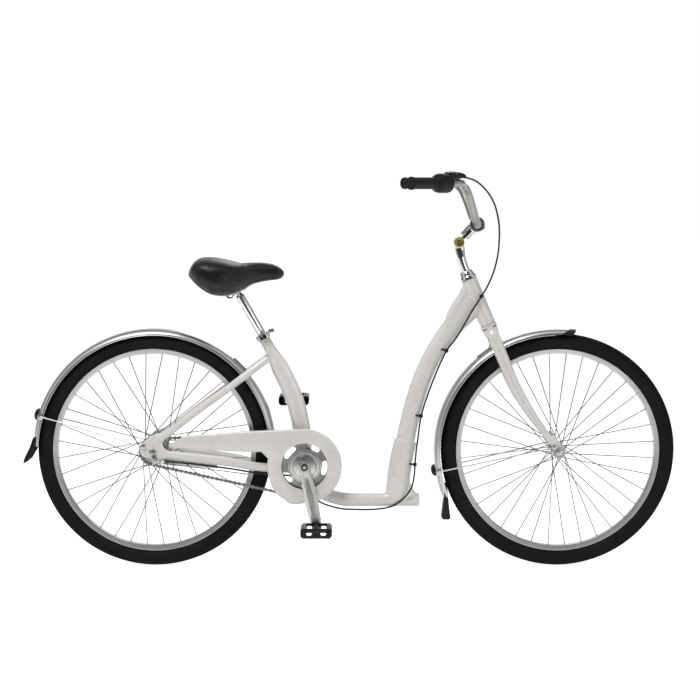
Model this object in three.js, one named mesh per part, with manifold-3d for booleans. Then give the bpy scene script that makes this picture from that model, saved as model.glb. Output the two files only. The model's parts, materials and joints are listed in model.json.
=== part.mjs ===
// A step-through city bike: low-entry frame, 26 inch wheels, hub gear with coaster brake,
// full chain guard, metal mudguards and an adjustable stem. Millimetres, +X forward, +Y left, +Z up.
import * as THREE from 'three';
import { mergeVertices } from 'three/addons/utils/BufferGeometryUtils.js';
import Module from 'manifold-3d';

const wasm = await Module();
wasm.setup();

// Driving dimensions
const wheelbase = 1127;
const tyreRadius = 326.5;
const tyreWidth = 47;
const rimRadius = 284;
const rimDepth = 14;
const rimWidth = 29;
const spokeCount = 36;
const wheelFacets = 32;
const chainPitch = 12.7;
const chainLinks = 98;
const ringTeeth = 44;
const sprocketTeeth = 18;
const chainLineOffset = 45;
const bracketDrop = 39.5;
const crankLength = 170;
const crankLean = 11.5;
const headAngle = 67;
const headTubeLength = 138;
const headTubeRadius = 22.5;
const forkLength = 400;
const forkRake = 43;
const stepTubeHeight = 185;
const footBehindAxle = 448;
const seatTopForward = 300;
const seatTopHeight = 651;
const seatPostLean = 29.5;
const seatPostRadius = 12.7;
const seatPostShown = 128;
const barRadius = 11.1;
const gripHeight = 1070;
const gripReach = 300;
const quillRadius = 11.1;
const axleRadius = 5;
const seam = 0.3; // gap between pieces that seat on each other
const runningGap = 0.3; // gap round what turns
const overrun = 3; // how far a cutter passes a face
const overlap = 1; // how far one form reaches into the next of the same piece

// Places that follow from the driving dimensions
const turn = Math.PI * 2;
const radians = THREE.MathUtils.degToRad;
const ringPitchRadius = chainPitch / (2 * Math.sin(Math.PI / ringTeeth));
const sprocketPitchRadius = chainPitch / (2 * Math.sin(Math.PI / sprocketTeeth));
const ringWrapLinks = 24;
const sprocketWrapLinks = 8;
const runLinks = (chainLinks - ringWrapLinks - sprocketWrapLinks) / 2;
const ringWrap = ringWrapLinks * Math.PI / ringTeeth;
const sprocketWrap = sprocketWrapLinks * Math.PI / sprocketTeeth;
const runRise = ringPitchRadius * Math.sin(ringWrap) - sprocketPitchRadius * Math.sin(sprocketWrap);
const runAlong = Math.sqrt((runLinks * chainPitch) ** 2 - runRise ** 2);
const chainCentres = runAlong - ringPitchRadius * Math.cos(ringWrap) - sprocketPitchRadius * Math.cos(sprocketWrap);
const rearAxle = new THREE.Vector3(0, 0, tyreRadius);
const frontAxle = new THREE.Vector3(wheelbase, 0, tyreRadius);
const bracket = new THREE.Vector3(Math.sqrt(chainCentres ** 2 - bracketDrop ** 2), 0, tyreRadius - bracketDrop);
const steerDown = new THREE.Vector3(Math.cos(radians(headAngle)), 0, -Math.sin(radians(headAngle)));
const steerAhead = new THREE.Vector3(Math.sin(radians(headAngle)), 0, Math.cos(radians(headAngle)));
const headBase = frontAxle.clone().addScaledVector(steerDown, -forkLength).addScaledVector(steerAhead, -forkRake);
const seatUp = new THREE.Vector3(-Math.sin(radians(seatPostLean)), 0, Math.cos(radians(seatPostLean)));
const seatAhead = new THREE.Vector3(Math.cos(radians(seatPostLean)), 0, Math.sin(radians(seatPostLean)));
const seatTop = new THREE.Vector3(seatTopForward, 0, seatTopHeight);
const across = new THREE.Vector3(0, 1, 0);
const foot = new THREE.Vector3(wheelbase - footBehindAxle, 0, stepTubeHeight);

// A point on the steering axis, counted down from the head tube's lower end, with an offset ahead of it
const onSteer = (down, ahead = 0, side = 0) => headBase.clone()
  .addScaledVector(steerDown, down).addScaledVector(steerAhead, ahead).addScaledVector(across, side);
// A point on the seat post's axis, counted up from the seat tube's top, with an offset ahead of it
const onSeat = (up, ahead = 0, side = 0) => seatTop.clone()
  .addScaledVector(seatUp, up).addScaledVector(seatAhead, ahead).addScaledVector(across, side);
const at = (x, y, z) => new THREE.Vector3(x, y, z);
const from = (origin, x, y, z) => origin.clone().add(at(x, y, z));
// A point between two places by its shares of the way forward and up, with a place of its own across the bike
const placed = (start, end, shareX, shareZ, y = 0) =>
  at(start.x + (end.x - start.x) * shareX, y, start.z + (end.z - start.z) * shareZ);

// A boolean solid from a closed geometry
function solid(geometry) {
  const bare = geometry.clone();
  bare.deleteAttribute('normal');
  bare.deleteAttribute('uv');
  const merged = mergeVertices(bare);
  return new wasm.Manifold(new wasm.Mesh({
    numProp: 3,
    vertProperties: new Float32Array(merged.attributes.position.array),
    triVerts: new Uint32Array(merged.index.array),
  }));
}

const join = (first, ...others) => others.reduce((whole, piece) => whole.add(piece), first);
const cut = (first, ...tools) => tools.reduce((rest, tool) => rest.subtract(tool), first);

// A closed skin through a row of outlines that have equal counts of points
function skin(rings, endless = false) {
  const count = rings[0].length;
  const points = rings.flat();
  const faces = [];
  const spans = endless ? rings.length : rings.length - 1;
  for (let ring = 0; ring < spans; ring++) {
    const next = (ring + 1) % rings.length;
    for (let side = 0; side < count; side++) {
      const beside = (side + 1) % count;
      const [a, b] = [ring * count + side, ring * count + beside];
      const [c, d] = [next * count + beside, next * count + side];
      faces.push(a, b, c, a, c, d);
    }
  }
  if (!endless) {
    const triangles = capOf(rings[0]);
    const last = (rings.length - 1) * count;
    for (const [a, b, c] of triangles) faces.push(c, b, a);
    for (const [a, b, c] of capOf(rings.at(-1))) faces.push(last + a, last + b, last + c);
  }
  const geometry = new THREE.BufferGeometry();
  geometry.setAttribute('position', new THREE.Float32BufferAttribute(points.flatMap((p) => [p.x, p.y, p.z]), 3));
  geometry.setIndex(volumeOf(points, faces) < 0 ? faces.reverse() : faces);
  return solid(geometry);
}

// The triangles that fill one outline, turning the same way as the outline does
function capOf(ring) {
  const normal = at(0, 0, 0);
  ring.forEach((point, i) => normal.add(point.clone().cross(ring[(i + 1) % ring.length])));
  normal.normalize();
  const right = ring[1].clone().sub(ring[0]);
  right.addScaledVector(normal, -right.dot(normal)).normalize();
  const up = normal.clone().cross(right);
  const flat = ring.map((point) => new THREE.Vector2(point.dot(right), point.dot(up)));
  return THREE.ShapeUtils.triangulateShape(flat, []).map(([a, b, c]) => {
    const [p, q, r] = [flat[a], flat[b], flat[c]];
    const turned = (q.x - p.x) * (r.y - p.y) - (q.y - p.y) * (r.x - p.x);
    return turned > 0 ? [a, b, c] : [a, c, b];
  });
}

function volumeOf(points, faces) {
  let sum = 0;
  for (let i = 0; i < faces.length; i += 3) {
    const [a, b, c] = [points[faces[i]], points[faces[i + 1]], points[faces[i + 2]]];
    sum += a.dot(b.clone().cross(c));
  }
  return sum;
}

// A round bar between two points, with another radius at its far end if one is given
function rod(start, end, radius, sides, endRadius = radius) {
  const along = end.clone().sub(start);
  const geometry = new THREE.CylinderGeometry(endRadius, radius, along.length(), sides);
  geometry.applyQuaternion(new THREE.Quaternion().setFromUnitVectors(across, along.clone().normalize()));
  const middle = start.clone().addScaledVector(along, 1 / 2);
  return solid(geometry.translate(middle.x, middle.y, middle.z));
}

// A thin three-sided wire between two points
function wire(start, end, radius) {
  const along = end.clone().sub(start).normalize();
  const side = across.clone().cross(along).normalize();
  const deep = side.clone().cross(along);
  return skin([start, end].map((point) => ringAbout(point, side, deep, radius, radius, 3)));
}

// A disc or drum whose axis runs across the bike, between two places along Y
const drum = (centre, radius, low, high, sides) =>
  rod(at(centre.x, low, centre.z), at(centre.x, high, centre.z), radius, sides);

// Cutters for round holes, whose flats stand at the given radius
const bored = (start, end, radius, sides) => rod(start, end, radius / Math.cos(Math.PI / sides), sides);
const boredAcross = (centre, radius, low, high, sides) =>
  drum(centre, radius / Math.cos(Math.PI / sides), low, high, sides);

// A ring turned round an axis across the bike, from a closed outline of [radius, side] points
function turned(centre, outline, facets) {
  const closed = [...outline, outline[0]].map(([radius, side]) => new THREE.Vector2(radius, side));
  const geometry = new THREE.LatheGeometry(closed, facets, Math.PI / facets);
  if (THREE.ShapeUtils.area(closed) < 0) return turned(centre, [...outline].reverse(), facets);
  return solid(geometry.translate(centre.x, centre.y, centre.z));
}

// A plate with its outline in the bike's own plane, between two places along Y
function plate(shape, low, high, curveSegments) {
  const geometry = new THREE.ExtrudeGeometry(shape, { depth: high - low, bevelEnabled: false, curveSegments });
  geometry.rotateX(Math.PI / 2);
  return solid(geometry.translate(0, high, 0));
}

// A tube of one section along a curve
function tube(points, radius, sides, steps) {
  const shape = new THREE.Shape();
  for (let i = 0; i < sides; i++) {
    const angle = (i + 1 / 2) * turn / sides;
    const [x, y] = [radius * Math.cos(angle), radius * Math.sin(angle)];
    if (i) shape.lineTo(x, y);
    else shape.moveTo(x, y);
  }
  const extrudePath = new THREE.CatmullRomCurve3(points, false, 'centripetal');
  return solid(new THREE.ExtrudeGeometry(shape, { steps, extrudePath, bevelEnabled: false }));
}

// A tapering oval tube: halves(share) gives half its width across the bike and half its depth
function ovalTube(points, stations, sides, halves) {
  const curve = new THREE.CatmullRomCurve3(points, false, 'centripetal');
  const rings = [];
  for (let i = 0; i <= stations; i++) {
    const share = i / stations;
    const along = curve.getTangentAt(share);
    const side = across.clone().addScaledVector(along, -along.y).normalize();
    const deep = side.clone().cross(along);
    const [width, depth] = halves(share);
    rings.push(ringAbout(curve.getPointAt(share), side, deep, width, depth, sides));
  }
  return skin(rings);
}

function ringAbout(centre, side, deep, width, depth, sides) {
  return Array.from({ length: sides }, (_, i) => {
    const angle = (i + 1 / 2) * turn / sides;
    return centre.clone().addScaledVector(side, width * Math.cos(angle))
      .addScaledVector(deep, depth * Math.sin(angle));
  });
}

// A value read off a row of [share, value, value] stops, with straight lines between them
function between(stops, share) {
  const next = Math.max(1, stops.findIndex(([place]) => place >= share));
  const [a, b] = [stops[next - 1], stops[next]];
  const t = (share - a[0]) / (b[0] - a[0]);
  return a.slice(1).map((value, i) => value + (b[i + 1] - value) * t);
}

// An outline round a centre, from rows of shares of one size; a row of four bends through a handle
function outlined(centre, size, rows) {
  const shape = new THREE.Shape();
  const spot = (x, z) => [centre.x + x * size, centre.z + z * size];
  rows.forEach((row, i) => {
    if (!i) shape.moveTo(...spot(...row));
    else if (row.length > 2) shape.quadraticCurveTo(...spot(row[0], row[1]), ...spot(row[2], row[3]));
    else shape.lineTo(...spot(...row));
  });
  shape.closePath();
  return shape;
}

// Materials
const finish = (color, roughness, metalness) => new THREE.MeshStandardMaterial({ color, roughness, metalness });
const paint = finish(0xe6e3de, 0.35, 0);
const chrome = finish(0xd8d8d8, 0.12, 1);
const alloy = finish(0xb4b4b2, 0.4, 1);
const guardMetal = finish(0xc2c3c4, 0.35, 1);
const steel = finish(0x8c8a86, 0.4, 1);
const darkSteel = finish(0x5c5955, 0.5, 1);
const zinc = finish(0x9d9730, 0.45, 1);
const rubber = finish(0x1a1a1a, 0.85, 0);
const blackPlastic = finish(0x1d1d1e, 0.55, 0);
const vinyl = finish(0x202021, 0.5, 0);

const bike = new THREE.Group();
function add(name, piece, material) {
  const { vertProperties, triVerts, numProp } = piece.getMesh();
  const geometry = new THREE.BufferGeometry();
  const positions = new Float32Array(vertProperties.length / numProp * 3);
  for (let i = 0; i < positions.length / 3; i++) {
    for (let axis = 0; axis < 3; axis++) positions[i * 3 + axis] = vertProperties[i * numProp + axis];
  }
  geometry.setAttribute('position', new THREE.BufferAttribute(positions, 3));
  geometry.setIndex(new THREE.BufferAttribute(new Uint32Array(triVerts), 1));
  const mesh = new THREE.Mesh(geometry, material);
  mesh.name = name;
  bike.add(mesh);
  return piece;
}

// Frame sizes
const shellHalf = 34;
const shellRadius = 21;
const shellBore = 17.5;
const frontTube = {
  width: 20, depth: 26, kneeDepth: 27, headDepth: 35, sleeveWidth: 22, sleeveDepth: 32, footDepth: 34,
  topLengthShare: 0.536, topRadiusShare: 0.686, stations: 11, sides: 10,
};
const stepTube = { radius: 19.5, noseLength: 63, stations: 8, sides: 10 };
const seatTube = {
  radius: 16, width: 17, depth: 25.5, footDepth: 20, straightLength: 56, boreDepth: 190, stations: 8, sides: 10,
};
const headBore = 17;

// The tubes' lines bend between fixed places, by shares of the way forward and up
const frontTubeTop = onSteer(-headTubeLength * frontTube.topLengthShare, -headTubeRadius * frontTube.topRadiusShare);
const frontTubeShares = [[1, 1], [0.828, 0.923], [0.651, 0.836], [0.469, 0.73], [0.321, 0.604], [0.23, 0.499],
  [0.158, 0.391], [0.105, 0.294], [0.043, 0.18], [0.01, 0.072], [0, 0]];
const sleeveShares = [[0.11, 0.301], ...frontTubeShares.slice(-3)];
const stepTubeShares = [[0.695, 1], [0.393, 0.98], [0.2, 0.804], [0.064, 0.441], [0, 0]];
const seatTubeShares = [[0.559, 0.731], [0.26, 0.516], [0.077, 0.269], [0, 0]];
const frontTubeLine = frontTubeShares.map((row) => placed(foot, frontTubeTop, ...row));
const stepTubeLine = [from(foot, stepTube.noseLength, 0, 0), ...stepTubeShares.map((row) => placed(bracket, foot, ...row))];
const seatTubeLine = [seatTop.clone(), onSeat(-seatTube.straightLength),
  ...seatTubeShares.map((row) => placed(bracket, seatTop, ...row))];

function headTube(radius) {
  return rod(onSteer(-headTubeLength), onSteer(0), radius, 18);
}

function frontTubeSolid() {
  const stops = [[0, frontTube.width, frontTube.headDepth], [0.16, frontTube.width, frontTube.kneeDepth],
    [0.3, frontTube.width, frontTube.depth], [0.7, frontTube.width, frontTube.depth],
    [1, frontTube.width, frontTube.kneeDepth]];
  return ovalTube(frontTubeLine, frontTube.stations, frontTube.sides, (share) => between(stops, share));
}

// The thicker sleeve at the front tube's foot
function footSleeve() {
  const line = sleeveShares.map((row) => placed(foot, frontTubeTop, ...row));
  const stops = [[0, frontTube.sleeveWidth, frontTube.sleeveDepth], [1, frontTube.sleeveWidth, frontTube.footDepth]];
  return ovalTube(line, 4, frontTube.sides, (share) => between(stops, share));
}

function stepTubeSolid(extra = 0) {
  const radius = stepTube.radius + extra;
  return ovalTube(stepTubeLine, stepTube.stations, stepTube.sides, () => [radius, radius]);
}

function seatTubeSolid(extra = 0) {
  const stops = [[0, seatTube.radius, seatTube.radius], [0.12, seatTube.radius, seatTube.radius],
    [0.28, seatTube.width, seatTube.depth], [0.75, seatTube.width, seatTube.depth],
    [1, seatTube.width, seatTube.footDepth]];
  return ovalTube(seatTubeLine, seatTube.stations, seatTube.sides,
    (share) => between(stops, share).map((half) => half + extra));
}

// The shift cable runs down the frame's right side through welded guides
const cable = { radius: 2.5, sides: 5, guideRadius: 5, guideSeams: 6, sideWidth: 29, drop: 27 };
const frontCableShares = [[1.11, 1.032, 1], [0.99, 0.962, 1], [0.78, 0.825, 0.931], [0.651, 0.76, 0.952],
  [0.464, 0.602, 0.862], [0.316, 0.431, 0.862], [0.273, 0.319, 0.931], [0.249, 0.252, 0.983],
  [0.234, 0.186, 0.983], [0.225, 0.132, 0.983], [0.187, 0.067, 0.948], [0.086, 0.014, 0.924]];
const stepCableShares = [[0.957, 1, 0.621, 0.556], [0.772, 1, 0.345, 0.963], [0.54, 1, 0.276, 1],
  [0.374, 0.98, 0.276, 0.964], [0.146, 0.72, 0.345, 1.17], [-0.024, 0.2, 0.552, 1.43], [-0.079, 0.1, 0.759, 1.215]];
const stayCableShares = [[0.904, 1.278, 0.966, 0.741], [0.804, 1.228, 1.138, 0.685], [0.69, 1.101, 1.345, 0.667],
  [0.523, 0.772, 1.586, 0.667], [0.262, 0.392, 1.931, 0.648], [0.143, 0.241, 2.207, 0.648],
  [0.079, 0.165, 2.448, 0.63]];
function cablePart(start, end, rows) {
  const under = across.clone().cross(end.clone().sub(start)).normalize();
  return rows.map(([shareX, shareZ, side, drop = 0]) =>
    placed(start, end, shareX, shareZ, -side * cable.sideWidth).addScaledVector(under, drop * cable.drop));
}
const cableLine = [...cablePart(foot, frontTubeTop, frontCableShares), ...cablePart(bracket, foot, stepCableShares),
  ...cablePart(rearAxle, bracket, stayCableShares)];

function cableGuides() {
  const places = [[cableLine[3], frontTubeLine[3]], [cableLine[5], frontTubeLine[6]], [cableLine[8], frontTubeLine[8]]];
  return places.map(([spot, seat]) => {
    const inward = at(spot.x, -frontTube.width / 2, spot.z).lerp(at(seat.x, -frontTube.width / 2, spot.z), 1 / 3);
    return rod(from(spot, 0, cable.radius + seam * cable.guideSeams, 0), inward, cable.guideRadius, 4);
  });
}

function buildFrontFrame() {
  const frame = cut(
    join(headTube(headTubeRadius), frontTubeSolid(), footSleeve(), stepTubeSolid(), ...cableGuides()),
    bored(onSteer(-headTubeLength - overrun), onSteer(overrun), headBore, 12),
    boredAcross(bracket, shellRadius + seam, -shellHalf - overrun, shellHalf + overrun, 16),
    seatTubeSolid(seam),
  );
  return add('front_frame', frame, paint);
}

const bracketShell = (extra = 0) => drum(bracket, shellRadius + extra, -shellHalf - extra, shellHalf + extra, 16);

function buildSeatTube() {
  const tubeAndShell = cut(
    join(seatTubeSolid(), bracketShell()),
    boredAcross(bracket, shellBore, -shellHalf - overrun, shellHalf + overrun, 12),
    bored(onSeat(overrun), onSeat(-seatTube.boreDepth), seatPostRadius + seam, 12),
  );
  add('seat_tube', tubeAndShell, paint);
}

// Bearing cups screwed into the bracket shell
const cup = { flangeThick: 3, flangeRadius: 20, depth: 14 };
const spindleRadius = 8.5;
function buildBracketCups() {
  for (const [name, side] of [['right_bracket_cup', -1], ['left_bracket_cup', 1]]) {
    const outer = side * (shellHalf + seam);
    const flange = drum(bracket, cup.flangeRadius, ...ordered(outer, outer + side * cup.flangeThick), 14);
    const sleeve = drum(bracket, shellBore - seam, ...ordered(outer + side * cup.flangeThick, outer - side * cup.depth), 12);
    const bore = boredAcross(bracket, spindleRadius + runningGap, -shellHalf * 2, shellHalf * 2, 12);
    add(name, cut(join(flange, sleeve), bore), steel);
  }
}
const ordered = (a, b) => [Math.min(a, b), Math.max(a, b)];

// Stays: each side is one welded piece of chain stay, seat stay and dropout plate
const stay = {
  chainDepth: 13, chainWidth: 9, chainEndWidth: 7, chainEndDepth: 12, chainMidWidth: 8, chainTip: 10,
  chainSideWidth: 60, chainInnerWidth: 26, seatHalf: 10.5, seatTip: 9, seatSideWidth: 61, seatInnerWidth: 24,
  seatJointDrop: 66.3, seatJointDepth: 16.8, stations: 8, sides: 8, dropoutInner: 58.3, dropoutThick: 6,
  dropoutLength: 48,
};
const stayTop = onSeat(-stay.seatJointDrop, -stay.seatJointDepth);
const chainStayShares = [[0.079, 0.165, 0], [0.152, 0.241, 0.059], [0.262, 0.392, 0.147], [0.523, 0.772, 0.441],
  [0.69, 1.101, 0.662], [0.804, 1.228, 0.853], [0.892, 1.278, 0.926], [0.986, 1.304, 1]];
const seatStayShares = [[0.05, 0.133, 0], [0.189, 0.257, 0.014], [0.346, 0.408, 0.108], [0.629, 0.66, 0.311],
  [0.824, 0.838, 0.514], [0.899, 0.907, 0.676], [1, 1, 1]];
const chainStayLine = (side) => chainStayShares.map(([shareX, shareZ, inward]) => placed(rearAxle, bracket, shareX,
  shareZ, side * (stay.chainSideWidth + (stay.chainInnerWidth - stay.chainSideWidth) * inward)));
const seatStayLine = (side) => seatStayShares.map(([shareX, shareZ, inward]) => placed(rearAxle, stayTop, shareX,
  shareZ, side * (stay.seatSideWidth + (stay.seatInnerWidth - stay.seatSideWidth) * inward)));
const bridge = { radius: 8, crownGap: 15.5, chainShareX: 0.8375, chainShareZ: 1.253 };
const bridgeShare = () => (guardRadius + bridge.crownGap) / stayTop.distanceTo(rearAxle);
const bridgeSpot = () => placed(rearAxle, stayTop, bridgeShare(), bridgeShare());

function dropout(side) {
  const shape = outlined(rearAxle, stay.dropoutLength, [[-0.625, -0.25], [-0.875, 0.125, -0.625, 0.542],
    [-0.125, 0.958], [0.458, 1.167], [0.708, 0.833], [0.458, 0.458, 0.833, 0.125], [1, -0.333], [0.208, -0.458]]);
  const [low, high] = ordered(side * stay.dropoutInner, side * (stay.dropoutInner + stay.dropoutThick));
  return plate(shape, low, high, 4);
}

function stayTubes(side, extra = 0) {
  const chainHalves = [[0, stay.chainEndWidth, stay.chainEndDepth], [0.3, stay.chainWidth, stay.chainDepth],
    [0.68, stay.chainMidWidth, stay.chainDepth], [0.8, stay.chainMidWidth, stay.chainDepth],
    [1, stay.chainWidth, stay.chainTip]];
  const seatHalves = [[0, stay.seatTip, stay.seatHalf], [0.3, stay.seatTip, stay.seatHalf],
    [1, stay.seatHalf, stay.seatHalf]];
  return [[chainStayLine(side), chainHalves], [seatStayLine(side), seatHalves]].map(([line, halves]) =>
    ovalTube(line, stay.stations, stay.sides, (share) => between(halves, share).map((half) => half + extra)));
}

const axleHole = () => boredAcross(rearAxle, axleRadius + seam, -shellHalf * 3, shellHalf * 3, 8);

function buildStays() {
  const seatSpot = bridgeSpot();
  const chainSpot = placed(rearAxle, bracket, bridge.chainShareX, bridge.chainShareZ);
  const bridges = [seatSpot, chainSpot].map((spot, i) => {
    const reach = [seatStayWidth(bridgeShare()), chainStayLine(1)[5].y][i];
    return rod(from(spot, 0, -reach, 0), from(spot, 0, reach, 0), bridge.radius, 10);
  });
  const shellRoom = shellHalf + cup.flangeThick + seam * 2;
  const clears = [drum(bracket, shellRadius + seam, -shellRoom, shellRoom, 16), seatTubeSolid(seam), axleHole()];
  const right = cut(join(...stayTubes(-1), dropout(-1), ...bridges), ...clears, ...stayTubes(1, seam * 2));
  add('right_stays', right, paint);
  add('left_stays', cut(join(...stayTubes(1), dropout(1)), ...clears), paint);
}

// How far out a seat stay's middle stands at a share of its way up
function seatStayWidth(share) {
  const [inward] = between(seatStayShares.map(([place, , moved]) => [place, moved]), Math.min(share, 1));
  return stay.seatSideWidth + (stay.seatInnerWidth - stay.seatSideWidth) * inward;
}

// Headset
const headset = {
  cupRadius: 25, cupTopRadius: 22, cupHeight: 11, raceRadius: 24, raceHeight: 9, lipDepth: 10, boreRadius: 15,
  lockRadius: 20.4, lockTopRadius: 17, lockHeight: 12,
};
const steererRadius = 14.3;
const steererBore = quillRadius + seam;
const steererTop = headTubeLength + headset.cupHeight + headset.lockHeight;
function buildHeadset() {
  const top = -headTubeLength - seam;
  const upper = join(
    rod(onSteer(top), onSteer(top - headset.cupHeight), headset.cupRadius, 16, headset.cupTopRadius),
    rod(onSteer(top - overlap), onSteer(top + headset.lipDepth), headBore - seam, 12),
  );
  const lower = join(
    rod(onSteer(seam), onSteer(headset.raceHeight), headset.raceRadius, 16),
    rod(onSteer(overlap), onSteer(-headset.lipDepth), headBore - seam, 12),
  );
  const hole = bored(onSteer(-headTubeLength * 2), onSteer(headTubeLength), headset.boreRadius, 12);
  add('upper_headset_cup', cut(upper, hole), chrome);
  add('lower_headset_cup', cut(lower, hole), chrome);
  const lockBase = top - headset.cupHeight - seam;
  const nut = rod(onSteer(lockBase), onSteer(lockBase - headset.lockHeight), headset.lockRadius, 12,
    headset.lockTopRadius);
  add('headset_locknut', cut(nut, bored(onSteer(-headTubeLength), onSteer(-headTubeLength * 2), steererRadius + seam, 14)),
    chrome);
}

// Fork: steerer, crown and two curved oval blades with flat tips
const fork = {
  bladeWidth: 10.5, bladeDepth: 17.5, bladeLowDepth: 15.5, rootWidth: 8.75, rootDepth: 14.5, tipWidth: 7, tipDepth: 9,
  sideWidth: 43, stations: 6, sides: 8, barDrop: 21, barRadius: 15, crownTop: 9.6, crownHeight: 22,
  crownRadius: 22, tipInner: 50.3, tipThick: 5, tipLength: 48,
};
const bladeShares = [[0.035, 0.005, 0.698], [0.075, 0.003, 1], [0.225, 0, 1], [0.475, 0.003, 1.047],
  [0.675, 0.03, 1.14], [0.825, 0.065, 1.209], [0.94, 0.095, 1.267]];
const bladeLine = (side) => bladeShares.map(([down, ahead, out]) =>
  onSteer(down * forkLength, ahead * forkLength, side * out * fork.sideWidth));
const tipSide = bladeShares.at(-1)[2] * fork.sideWidth;

function buildFork() {
  const halves = [[0, fork.rootWidth, fork.rootDepth], [0.12, fork.bladeWidth, fork.bladeDepth],
    [0.55, fork.bladeWidth, fork.bladeLowDepth], [1, fork.tipWidth, fork.tipDepth]];
  const blades = [-1, 1].map((side) => ovalTube(bladeLine(side), fork.stations, fork.sides,
    (share) => between(halves, share)));
  const bar = crownBar(fork.barRadius);
  const neck = rod(onSteer(fork.crownTop), onSteer(fork.crownTop + fork.crownHeight), fork.crownRadius, 12);
  const steerer = rod(onSteer(fork.crownTop + overlap * 2), onSteer(-steererTop), steererRadius, 12);
  const tips = [-1, 1].map((side) => forkTip(side));
  const hollow = bored(onSteer(-steererTop - overrun), onSteer(fork.crownHeight), steererBore, 10);
  const wheelRoom = boredAcross(frontAxle, axleRadius + seam, -tipSide * 2, tipSide * 2, 8);
  const raceRoom = rod(onSteer(-headTubeLength / 2), onSteer(fork.crownTop), fork.sideWidth * 2, 8);
  const legs = cut(join(neck, bar, ...blades), raceRoom);
  add('fork', cut(join(legs, steerer, ...tips), hollow, wheelRoom), paint);
}

const crownBar = (radius) => rod(onSteer(fork.barDrop, 0, -fork.sideWidth), onSteer(fork.barDrop, 0, fork.sideWidth),
  radius, 10);

function forkTip(side) {
  const shape = outlined(frontAxle, fork.tipLength, [[-0.625, 0.833], [-0.25, 1], [0.25, 0.417, 0.3125, 0.042],
    [0.25, -0.292, -0.042, -0.292], [-0.292, -0.25, -0.3125, 0.042]]);
  return plate(shape, ...ordered(side * fork.tipInner, side * (fork.tipInner + fork.tipThick)), 3);
}

// Wheels
const tyre = { wall: 3.2, beadDepth: 5, treadHalf: 8, shoulderDepth: 13 };
const rimWall = 1.8;
function buildTyre(name, axle) {
  const half = tyreWidth / 2;
  const flat = 1 / Math.cos(Math.PI / wheelFacets);
  const top = tyreRadius * flat;
  const bead = rimRadius - tyre.beadDepth;
  const beadHalf = rimWidth / 2 - rimWall - seam * 2;
  const outer = [[top, tyre.treadHalf], [top - tyre.shoulderDepth, half], [top - tyre.shoulderDepth * 2, half * 0.94],
    [rimRadius + seam * 4, beadHalf], [bead, beadHalf - tyre.wall]];
  const inner = [[top - tyre.shoulderDepth, half - tyre.wall * 2]];
  const mirror = (row) => row.map(([radius, side]) => [radius, -side]).reverse();
  add(name, turned(axle, [...mirror(outer), ...outer, ...inner, ...mirror(inner)], wheelFacets), rubber);
}

function buildRim(name, axle) {
  const [outer, half] = [rimRadius, rimWidth / 2];
  const well = outer - tyre.beadDepth - seam * 2;
  const wall = rimWall;
  const side = [[outer, half], [outer - rimDepth, half * 0.86]];
  const mirror = side.map(([radius, place]) => [radius, -place]).reverse();
  const inside = [[outer, -half + wall], [well, -half + wall], [well, half - wall], [outer, half - wall]];
  add(name, turned(axle, [...side, ...mirror, ...inside], wheelFacets), alloy);
}

// A hub with its spokes laced three times crossed, tangent to the flanges
const spoke = { radius: 1, rimSide: 3, crossing: 6, apartWidth: 1.2 };
function spokes(axle, flangeRadius, flangeSide) {
  const found = [];
  const end = rimRadius - rimDepth - seam;
  for (let i = 0; i < spokeCount; i++) {
    const side = i % 2 ? 1 : -1;
    const lean = i % 4 < 2 ? 1 : -1;
    const rimAngle = (i + 1 / 2) * turn / spokeCount;
    const hubAngle = rimAngle + lean * spoke.crossing * turn / spokeCount;
    const reach = Math.cos(Math.PI / wheelFacets);
    found.push(wire(
      from(axle, flangeRadius * Math.cos(hubAngle), side * flangeSide + lean * spoke.apartWidth,
        flangeRadius * Math.sin(hubAngle)),
      from(axle, end * reach * Math.cos(rimAngle), side * spoke.rimSide + lean * spoke.apartWidth,
        end * reach * Math.sin(rimAngle)),
      spoke.radius,
    ));
  }
  return found;
}

const rearHub = {
  flangeRadius: 36.5, flangeSide: 30, flangeThick: 5, barrelRadius: 30, rightRadius: 26, leftRadius: 24, rightWidth: 38,
  leftWidth: 44, spokeRadius: 33.5,
};
const frontHub = {
  flangeRadius: 19, flangeSide: 34, flangeThick: 5, barrelRadius: 13, endRadius: 10, endWidth: 44, spokeRadius: 16.5,
};

function buildRearHub() {
  const bore = axleRadius + runningGap;
  const [edge, thick] = [rearHub.flangeSide, rearHub.flangeThick / 2];
  const { flangeRadius, barrelRadius, rightWidth, leftWidth } = rearHub;
  const shell = turned(rearAxle, [
    [bore, -rightWidth], [rearHub.rightRadius, -rightWidth], [barrelRadius, -edge - thick],
    [flangeRadius, -edge - thick], [flangeRadius, -edge + thick], [barrelRadius, -edge + thick],
    [barrelRadius, edge - thick], [flangeRadius, edge - thick], [flangeRadius, edge + thick],
    [barrelRadius, edge + thick], [rearHub.leftRadius, leftWidth], [bore, leftWidth],
  ], 16);
  add('rear_hub', join(shell, ...spokes(rearAxle, rearHub.spokeRadius, edge)), alloy);
}

function buildFrontHub() {
  const bore = axleRadius + runningGap;
  const [edge, thick] = [frontHub.flangeSide, frontHub.flangeThick / 2];
  const { flangeRadius, barrelRadius, endRadius, endWidth } = frontHub;
  const half = [[bore, endWidth], [endRadius, endWidth], [barrelRadius, edge + thick],
    [flangeRadius, edge + thick], [flangeRadius, edge - thick], [barrelRadius, edge - thick]];
  const mirror = half.map(([radius, place]) => [radius, -place]).reverse();
  const shell = turned(frontAxle, [...half, ...mirror], 12);
  add('front_hub', join(shell, ...spokes(frontAxle, frontHub.spokeRadius, edge)), alloy);
}

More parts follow.
